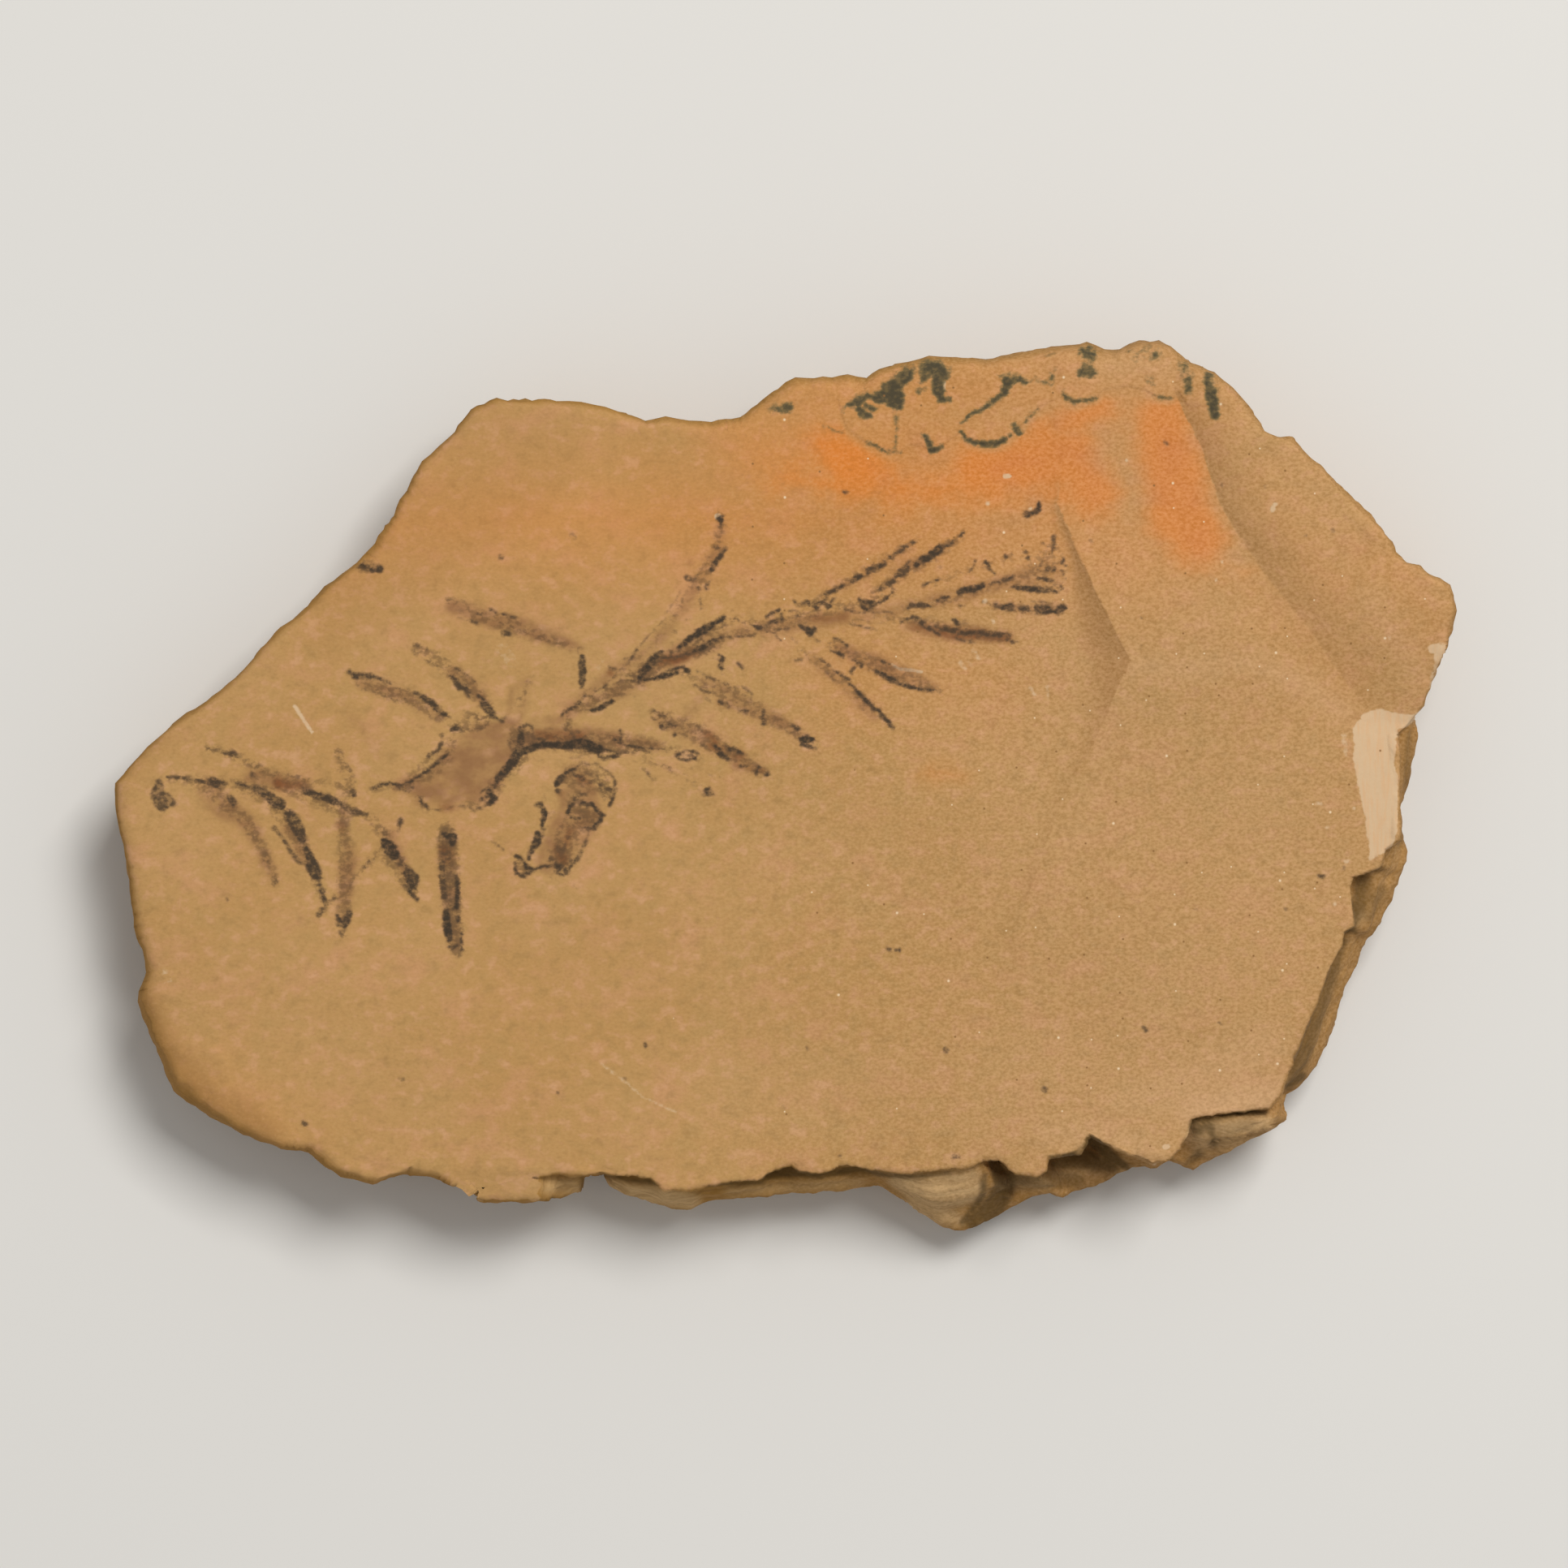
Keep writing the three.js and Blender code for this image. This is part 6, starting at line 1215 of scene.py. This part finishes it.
def skin_spacing(sizes):
    """The edge length wanted at each place of the skin: fine under the film, coarse underneath."""
    film, face, lip, ledge, side, base = (
        getattr(sizes, name + "_edge") / MM for name in ("film", "face", "lip", "ledge", "side", "base")
    )
    drawn = every([*CARBON.values(), *MANGANESE.values(), *CHALK.values()])
    drawn += [(1, *line(SHEET_CREST)), (1, *line(SHOULDER_FOOT)), (1, *line(CRUST_EDGE))]
    broad = every(FILL.values())

    def spacing(points):
        x, y, z = points.T
        gap = np.minimum(gap_to(x, y, drawn, REACH), gap_to(x, y, broad, REACH) + BROAD_EASE)
        on_face = np.minimum(film + SPACING_GROWTH * np.maximum(gap - FILM_MARGIN, 0), face)
        ledges = (y < LEDGES_FRONT_OF) | (x > LEDGES_RIGHT_OF)
        depth = bedding(x, y) - z
        on_face = np.where(ledges & (depth > LIP_DEPTHS[0]), np.minimum(on_face, lip), on_face)
        on_side = np.where(ledges, np.where(depth < LIP_DEPTHS[1], lip, ledge), side)
        return np.where(z < BASE_HEIGHT, base, np.where(depth > FACE_DEPTH, on_side, on_face))

    return spacing


def refine(bm, spacing):
    """Halves every edge that is much longer than the spacing wanted at its middle, until none is."""
    slack = 1.4
    while True:
        ends = np.array([edge.verts[0].co[:] + edge.verts[1].co[:] for edge in bm.edges]) / MM
        length = np.linalg.norm(ends[:, :3] - ends[:, 3:], axis=1)
        too_long = length > slack * spacing((ends[:, :3] + ends[:, 3:]) / 2)
        if not too_long.any():
            return
        chosen = [edge for edge, cut in zip(bm.edges, too_long) if cut]
        bmesh.ops.subdivide_edges(bm, edges=chosen, cuts=1, use_grid_fill=True, use_single_edge=True)
        cornered = [face for face in bm.faces if len(face.verts) > 3]
        bmesh.ops.triangulate(bm, faces=cornered, quad_method="BEAUTY", ngon_method="BEAUTY")


def weather(bm, face_layer):
    """Rounds the worn rim, raises the flake and the step, cuts the notch, breaks the sides along their
    beds and roughens the face and the underside."""
    on_face = np.array([vertex[face_layer] for vertex in bm.verts])
    place = places(bm)
    x, y, z = place.T
    underside = z < BASE_HEIGHT
    plane = bedding(x, y)
    place[:, 2] = plane - (plane - z) * (1 - on_face) ** RIM_CRISPNESS
    for middle, half, fall, share in RAISED:
        within = [(1 - np.abs(place[:, i] - middle[i]) / half[i]) / RAISED_EASE for i in (0, 1)]
        lifted = share * np.clip(np.minimum(*within), 0, 1) * (z > THICKNESS - RAISED_DEPTH)
        bent = plane - fall * np.maximum(middle[1] + half[1] - y, 0)
        place[:, 2] += lifted * np.minimum(bent - place[:, 2], RAISED_DEPTH)
        on_face = np.where(lifted > JOINED, np.maximum(on_face, lifted), on_face)
    notch_x, notch_y = np.array(NOTCH).T
    place[:, 1] = np.maximum(y, np.interp(x, notch_x, notch_y))
    for vertex, moved, mark in zip(bm.verts, place, on_face):
        vertex.co = moved * MM
        vertex[face_layer] = mark
    bm.normal_update()

    normals = np.array([vertex.normal[:] for vertex in bm.verts])
    breaks = sum(depth * waves(place, size) for depth, size in (FLAKES, LAMINAE, CHIPS))
    breaks *= np.sqrt(1 - on_face) * np.clip(place[:, 2] / BASE_FADE, 0, 1)
    roughness = sum(height * waves(place, size) for height, size in (DIMPLES, PITTING))
    hollows = HOLLOWS[0] * np.clip(waves(place, HOLLOWS[1]), 0, 1) * underside
    place += normals * breaks[:, None]
    near_rim = np.clip(1 - (plane - z) / TEETH_DEPTH, 0, 1) * (1 - on_face) * (y < LEDGES_FRONT_OF)
    place[:, :2] += normals[:, :2] * (TEETH[0] * waves(place, TEETH[1]) * near_rim)[:, None]
    place[:, 2] += (roughness + CRUST_HEIGHT * on_crust(x, y, CRUST_SLOPE)) * on_face + hollows
    for vertex, moved in zip(bm.verts, place):
        vertex.co = moved * MM


def finished_mesh(bm, name):
    """An object from a bmesh, shaded smooth with its sharp ledges kept crisp."""
    mesh = bpy.data.meshes.new(name)
    bm.to_mesh(mesh)
    bm.free()
    mesh.shade_smooth()
    mesh.set_sharp_from_angle(angle=math.radians(SHARP_FROM))
    made = bpy.data.objects.new(name, mesh)
    bpy.context.scene.collection.objects.link(made)
    return made


def keep_signals(mesh):
    """Stores for each corner of a mesh what the material reads: how fully each kind of mark covers it,
    and where on the stone it lies."""
    flat = np.empty(3 * len(mesh.vertices))
    mesh.vertices.foreach_get("co", flat)
    x, y, z = flat.reshape(-1, 3).T / MM
    on_top = np.clip(2 - (bedding(x, y) - z) / DRAWN_DEPTH, 0, 1)
    signals = {}
    for name, (strokes, fade) in COVERS.items():
        signals[name] = brushed(x, y, every(strokes.values()), fade)
        if name in DRAWN:
            signals[name] *= on_top
    # how much painted shade, with a browner tone, the slopes of the creases get
    signals["slope_tone_and_shade"] = slope_tone_and_shade(x, y)
    signals["coarse"] = np.clip(COARSE_MIDDLE + x / COARSENING, *COARSENESS)
    signals["below_crust"] = 1 - on_crust(x, y, CRUST_FADE)
    for name, values in signals.items():
        stored = mesh.attributes.new(name, "FLOAT", "POINT")
        stored.data.foreach_set("value", values.astype(np.float32))


def add_node(tree, kind, inputs=None, **options):
    """Adds a node with its options. Its inputs are given by socket, as a value or as the output that
    feeds it."""
    made = tree.nodes.new(kind)
    for option, value in options.items():
        setattr(made, option, value)
    for socket, value in (inputs or {}).items():
        if isinstance(value, bpy.types.NodeSocket):
            tree.links.new(value, made.inputs[socket])
        else:
            made.inputs[socket].default_value = value
    return made


def in_spots(tree, place, size):
    """A place measured in spots of that size, in millimetres along x, y and z."""
    scale = [1 / (MM * length) for length in size]
    return add_node(tree, "ShaderNodeMapping", {"Vector": place, "Scale": scale}).outputs["Vector"]


def tinted(tree, colour, tint, strength):
    """A colour with a tint over it."""
    factor, below, above, result = 0, 6, 7, 2  # where a Mix node has its colour sockets
    inputs = {factor: strength, below: colour, above: tint}
    return add_node(tree, "ShaderNodeMix", inputs, data_type="RGBA").outputs[result]


def shale_material(finish):
    """Shale, a fine clay stone split along its bedding and weathered: dull and matt, its grain too
    fine to see, mottled where damp has moved the iron in it. Painted shade and painted light lie on its
    slopes, creases, margins and undercuts. The leaf on it is a film of carbon."""
    material = bpy.data.materials.new("weathered_shale")
    material.use_nodes = True
    tree = material.node_tree
    tree.nodes.clear()
    place = add_node(tree, "ShaderNodeTexCoord").outputs["Object"]

    signal = {}
    for name in ("face", "slope_tone_and_shade", "below_crust", "coarse", *COVERS):
        signal[name] = add_node(tree, "ShaderNodeAttribute", attribute_name=name).outputs["Fac"]
    for name, (size, detail) in PATTERNS.items():
        spots = add_node(tree, "ShaderNodeTexNoise", {
            "Vector": in_spots(tree, place, size), "Scale": 1.0, "Detail": detail,
            "Roughness": PATTERN_ROUGHNESS,
        })
        signal[name] = spots.outputs["Fac"]
    for name, (first, operation, second, low, high, strength) in MASKS.items():
        both = add_node(tree, "ShaderNodeMath", {
            0: signal.get(first, first), 1: signal.get(second, second),
        }, operation=operation)
        mask = add_node(tree, "ShaderNodeMapRange", {
            "Value": both.outputs[0], "From Min": low, "From Max": high, "To Max": strength,
        }, interpolation_type="SMOOTHSTEP")
        signal[name] = mask.outputs[0]

    colour = finish.tan
    for mask, tint in LAYERS:
        colour = tinted(tree, colour, getattr(finish, tint), signal[mask])

    odds_of_speck = add_node(tree, "ShaderNodeMath", {
        0: signal["coarse"], 1: signal["face"],
    }, operation="MULTIPLY").outputs[0]
    for spacing, size, share, tint in SPECKS:
        cells = add_node(tree, "ShaderNodeTexVoronoi", {
            "Vector": in_spots(tree, place, [spacing] * 3), "Scale": 1.0,
        }, voronoi_dimensions="2D")
        near = add_node(tree, "ShaderNodeMapRange", {
            "Value": cells.outputs["Distance"], "From Min": size / spacing / 2,
            "From Max": SPECK_CORE * size / spacing / 2,
        })
        chosen = add_node(tree, "ShaderNodeSeparateColor", {"Color": cells.outputs["Color"]})
        odds = add_node(tree, "ShaderNodeMapRange", {
            "Value": odds_of_speck, "From Min": COARSENESS[0], "To Max": share,
        })
        rare = add_node(tree, "ShaderNodeMath", {
            0: chosen.outputs["Red"], 1: odds.outputs[0],
        }, operation="LESS_THAN")
        speck = add_node(tree, "ShaderNodeMath", {
            0: near.outputs[0], 1: rare.outputs[0],
        }, operation="MULTIPLY")
        colour = tinted(tree, colour, getattr(finish, tint), speck.outputs[0])

    shine = add_node(tree, "ShaderNodeMapRange", {
        "Value": signal["film"], "To Min": STONE_ROUGHNESS, "To Max": FILM_ROUGHNESS,
    })
    bump = None
    for name, height in RELIEF.items():
        inputs = {"Height": signal[name], "Distance": height * MM, "Strength": 1.0}
        if bump:
            inputs["Normal"] = bump.outputs["Normal"]
        bump = add_node(tree, "ShaderNodeBump", inputs)
    shader = add_node(tree, "ShaderNodeBsdfPrincipled", {
        "Base Color": colour, "Roughness": shine.outputs[0], "Normal": bump.outputs["Normal"],
        "Specular IOR Level": STONE_SHEEN,
    })
    add_node(tree, "ShaderNodeOutputMaterial", {"Surface": shader.outputs[0]})
    return material


def plain_material(name, colour, roughness):
    """Matt painted board: even and pale, so that nothing but the stone draws the eye."""
    material = bpy.data.materials.new(name)
    material.use_nodes = True
    shader = material.node_tree.nodes["Principled BSDF"]
    shader.inputs["Base Color"].default_value = colour
    shader.inputs["Roughness"].default_value = roughness
    return material


class FossilStone(bpy.types.PropertyGroup):
    """How finely the stone's skin is divided, and the colours of its finish."""

    film_edge: FloatProperty(
        name="Edge under the film", description="Length of the skin's edges under the film",
        default=0.17 * MM, unit="LENGTH")
    face_edge: FloatProperty(
        name="Edge on the face", description="Length of the skin's edges on the bare split face",
        default=1 * MM, unit="LENGTH")
    lip_edge: FloatProperty(
        name="Edge on the lip", description="Length of the skin's edges on the lip over the ledges",
        default=0.35 * MM, unit="LENGTH")
    ledge_edge: FloatProperty(
        name="Edge on the ledges", description="Length of the skin's edges where lower beds stand out",
        default=0.5 * MM, unit="LENGTH")
    side_edge: FloatProperty(
        name="Edge on the sides", description="Length of the skin's edges on the other broken sides",
        default=0.9 * MM, unit="LENGTH")
    base_edge: FloatProperty(
        name="Edge underneath", description="Length of the skin's edges on the underside",
        default=2.6 * MM, unit="LENGTH")
    tan: FloatVectorProperty(
        name="Tan", description="The stone's own colour", size=4, subtype="COLOR",
        default=linear("#bb9059"))
    ochre: FloatVectorProperty(
        name="Ochre", description="Broad yellower patches", size=4, subtype="COLOR",
        default=linear("#b5884f"))
    rose: FloatVectorProperty(
        name="Rose", description="Small pinkish clouds", size=4, subtype="COLOR",
        default=linear("#cb916c"))
    olive: FloatVectorProperty(
        name="Olive", description="Yellow-green clouds of the stone", size=4, subtype="COLOR",
        default=linear("#a88a52"))
    shade: FloatVectorProperty(
        name="Grain", description="The darker specks of the grain", size=4, subtype="COLOR",
        default=linear("#8a6236"))
    side: FloatVectorProperty(
        name="Broken side", description="The fresher stone of the sides", size=4, subtype="COLOR",
        default=linear("#9f7330"))
    seam: FloatVectorProperty(
        name="Seam", description="The darker beds that show on the sides", size=4, subtype="COLOR",
        default=linear("#7a5828"))
    # the colour of the painted shade under the lips and on the dark facets of the sides
    undercut_shade: FloatVectorProperty(
        name="Soil", description="Dark soil in the undercuts", size=4, subtype="COLOR",
        default=linear("#40300e"))
    # the tint of the painted shade on the slopes and over the margins, browner than the stone
    slope_tone_and_shade: FloatVectorProperty(
        name="Lee", description="The browner slopes that fall to the left", size=4, subtype="COLOR",
        default=linear("#a1733e"))
    # also the colour of the painted light on the ledges under the front lip
    fresh_and_lit: FloatVectorProperty(
        name="Fresh side", description="The paler, freshly broken parts of the sides", size=4,
        subtype="COLOR", default=linear("#cfab78"))
    iron: FloatVectorProperty(
        name="Iron", description="Orange iron stain", size=4, subtype="COLOR",
        default=linear("#dc7c26"))
    brick: FloatVectorProperty(
        name="Brick", description="The redder clouds in the iron stain", size=4, subtype="COLOR",
        default=linear("#cb6c38"))
    chalk: FloatVectorProperty(
        name="Chalk", description="Fresh pale breaks and scratches", size=4, subtype="COLOR",
        default=linear("#d4b58f"))
    # also the colour of the painted light laid by the paler strokes
    light: FloatVectorProperty(
        name="Light grain", description="The paler specks of the grain", size=4, subtype="COLOR",
        default=linear("#d4a87b"))
    sepia: FloatVectorProperty(
        name="Sepia", description="The thin film between the leaf's dark lines", size=4,
        subtype="COLOR", default=linear("#855a3a"))
    rust: FloatVectorProperty(
        name="Rust", description="Film that has turned to iron oxide", size=4, subtype="COLOR",
        default=linear("#7a4826"))
    umber: FloatVectorProperty(
        name="Umber", description="The carbon film where it is thin", size=4, subtype="COLOR",
        default=linear("#5a4229"))
    carbon: FloatVectorProperty(
        name="Carbon", description="The carbon film where it is thick", size=4, subtype="COLOR",
        default=linear("#2c2418"))
    moss: FloatVectorProperty(
        name="Moss", description="Manganese oxide where it is thin", size=4, subtype="COLOR",
        default=linear("#6a5f3c"))
    manganese: FloatVectorProperty(
        name="Manganese", description="Manganese oxide where it is thick", size=4, subtype="COLOR",
        default=linear("#35342a"))
    mica: FloatVectorProperty(
        name="Mica", description="Flakes of mica that catch the light", size=4, subtype="COLOR",
        default=linear("#e9cda6"))


class FossilStage(bpy.types.PropertyGroup):
    """The floor, the lights and the camera."""

    floor_size: FloatProperty(
        name="Floor", description="Length of the floor's sides", default=6, unit="LENGTH")
    floor_colour: FloatVectorProperty(
        name="Floor colour", description="Colour of the floor", size=4, subtype="COLOR",
        default=linear("#dedbd5"))
    view_width: FloatProperty(
        name="View", description="Width of the view at the split face",
        default=146.8 * MM, unit="LENGTH")
    lens: FloatProperty(
        name="Lens", description="Focal length in millimetres", default=200, unit="CAMERA")
    key_power: FloatProperty(
        name="Key light", description="Power of the soft light behind the stone", default=13,
        unit="POWER")
    fill_strength: FloatProperty(
        name="Fill light", description="Strength of the even light from all round", default=0.4)


class FOSSIL_OT_stone(bpy.types.Operator):
    """Make the stone slab with its pressed leaf"""

    bl_idname = "fossil.stone"
    bl_label = "Stone slab"

    def execute(self, context):
        finish = context.scene.fossil_stone
        bm = merged_copy(STONE)
        face_layer = mark_face(bm)
        refine(bm, skin_spacing(finish))
        weather(bm, face_layer)
        stone = finished_mesh(bm, "fossil_slab")
        keep_signals(stone.data)
        stone.data.materials.append(shale_material(finish))
        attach(stone, "root")
        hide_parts("stone_slab")
        return {"FINISHED"}


class FOSSIL_OT_stage(bpy.types.Operator):
    """Make the floor, the lights and the camera"""

    bl_idname = "fossil.stage"
    bl_label = "Stage"

    def execute(self, context):
        stage = context.scene.fossil_stage
        scene = context.scene
        bm = bmesh.new()
        bmesh.ops.create_grid(bm, x_segments=1, y_segments=1, size=stage.floor_size / 2)
        mesh = bpy.data.meshes.new("floor")
        bm.to_mesh(mesh)
        bm.free()
        mesh.materials.append(plain_material("painted_board", stage.floor_colour, FLOOR_ROUGHNESS))
        floor = bpy.data.objects.new("floor", mesh)
        scene.collection.objects.link(floor)

        camera = bpy.data.objects.new("camera", bpy.data.cameras.new("camera"))
        camera.data.lens = stage.lens
        distance = stage.view_width * stage.lens / camera.data.sensor_width
        camera.location = (0, VIEW_CENTRE_Y * MM, THICKNESS * MM + distance)
        scene.collection.objects.link(camera)
        scene.camera = camera

        key = bpy.data.objects.new("key_light", bpy.data.lights.new("key_light", "AREA"))
        key.data.energy = stage.key_power
        key.data.size = KEY_SIZE
        key.location = KEY_PLACE
        key.rotation_euler = (-Vector(KEY_PLACE)).to_track_quat("-Z", "Y").to_euler()
        scene.collection.objects.link(key)

        world = bpy.data.worlds.new("even_light")
        world.use_nodes = True
        world.node_tree.nodes["Background"].inputs["Color"].default_value = (1, 1, 1, 1)
        world.node_tree.nodes["Background"].inputs["Strength"].default_value = stage.fill_strength
        scene.world = world
        scene.view_settings.view_transform = "Standard"
        return {"FINISHED"}


class FOSSIL_PT_panel(bpy.types.Panel):
    """Lists what can be made, with its sizes and colours"""

    bl_idname = "FOSSIL_PT_panel"
    bl_label = "Fossil leaf"
    bl_space_type = "VIEW_3D"
    bl_region_type = "UI"
    bl_category = "Fossil"

    def draw(self, context):
        scene = context.scene
        groups = ((FOSSIL_OT_stone, scene.fossil_stone), (FOSSIL_OT_stage, scene.fossil_stage))
        for operator, values in groups:
            box = self.layout.box()
            box.operator(operator.bl_idname)
            for name in type(values).__annotations__:
                box.prop(values, name)


CLASSES = (FossilStone, FossilStage, FOSSIL_OT_stone, FOSSIL_OT_stage, FOSSIL_PT_panel)


def register():
    for made in CLASSES:
        bpy.utils.register_class(made)
    bpy.types.Scene.fossil_stone = PointerProperty(type=FossilStone)
    bpy.types.Scene.fossil_stage = PointerProperty(type=FossilStage)


def unregister():
    del bpy.types.Scene.fossil_stage
    del bpy.types.Scene.fossil_stone
    for made in reversed(CLASSES):
        bpy.utils.unregister_class(made)


def main():
    register()
    bpy.ops.fossil.stone()
    bpy.ops.fossil.stage()


if __name__ == "__main__":
    main()
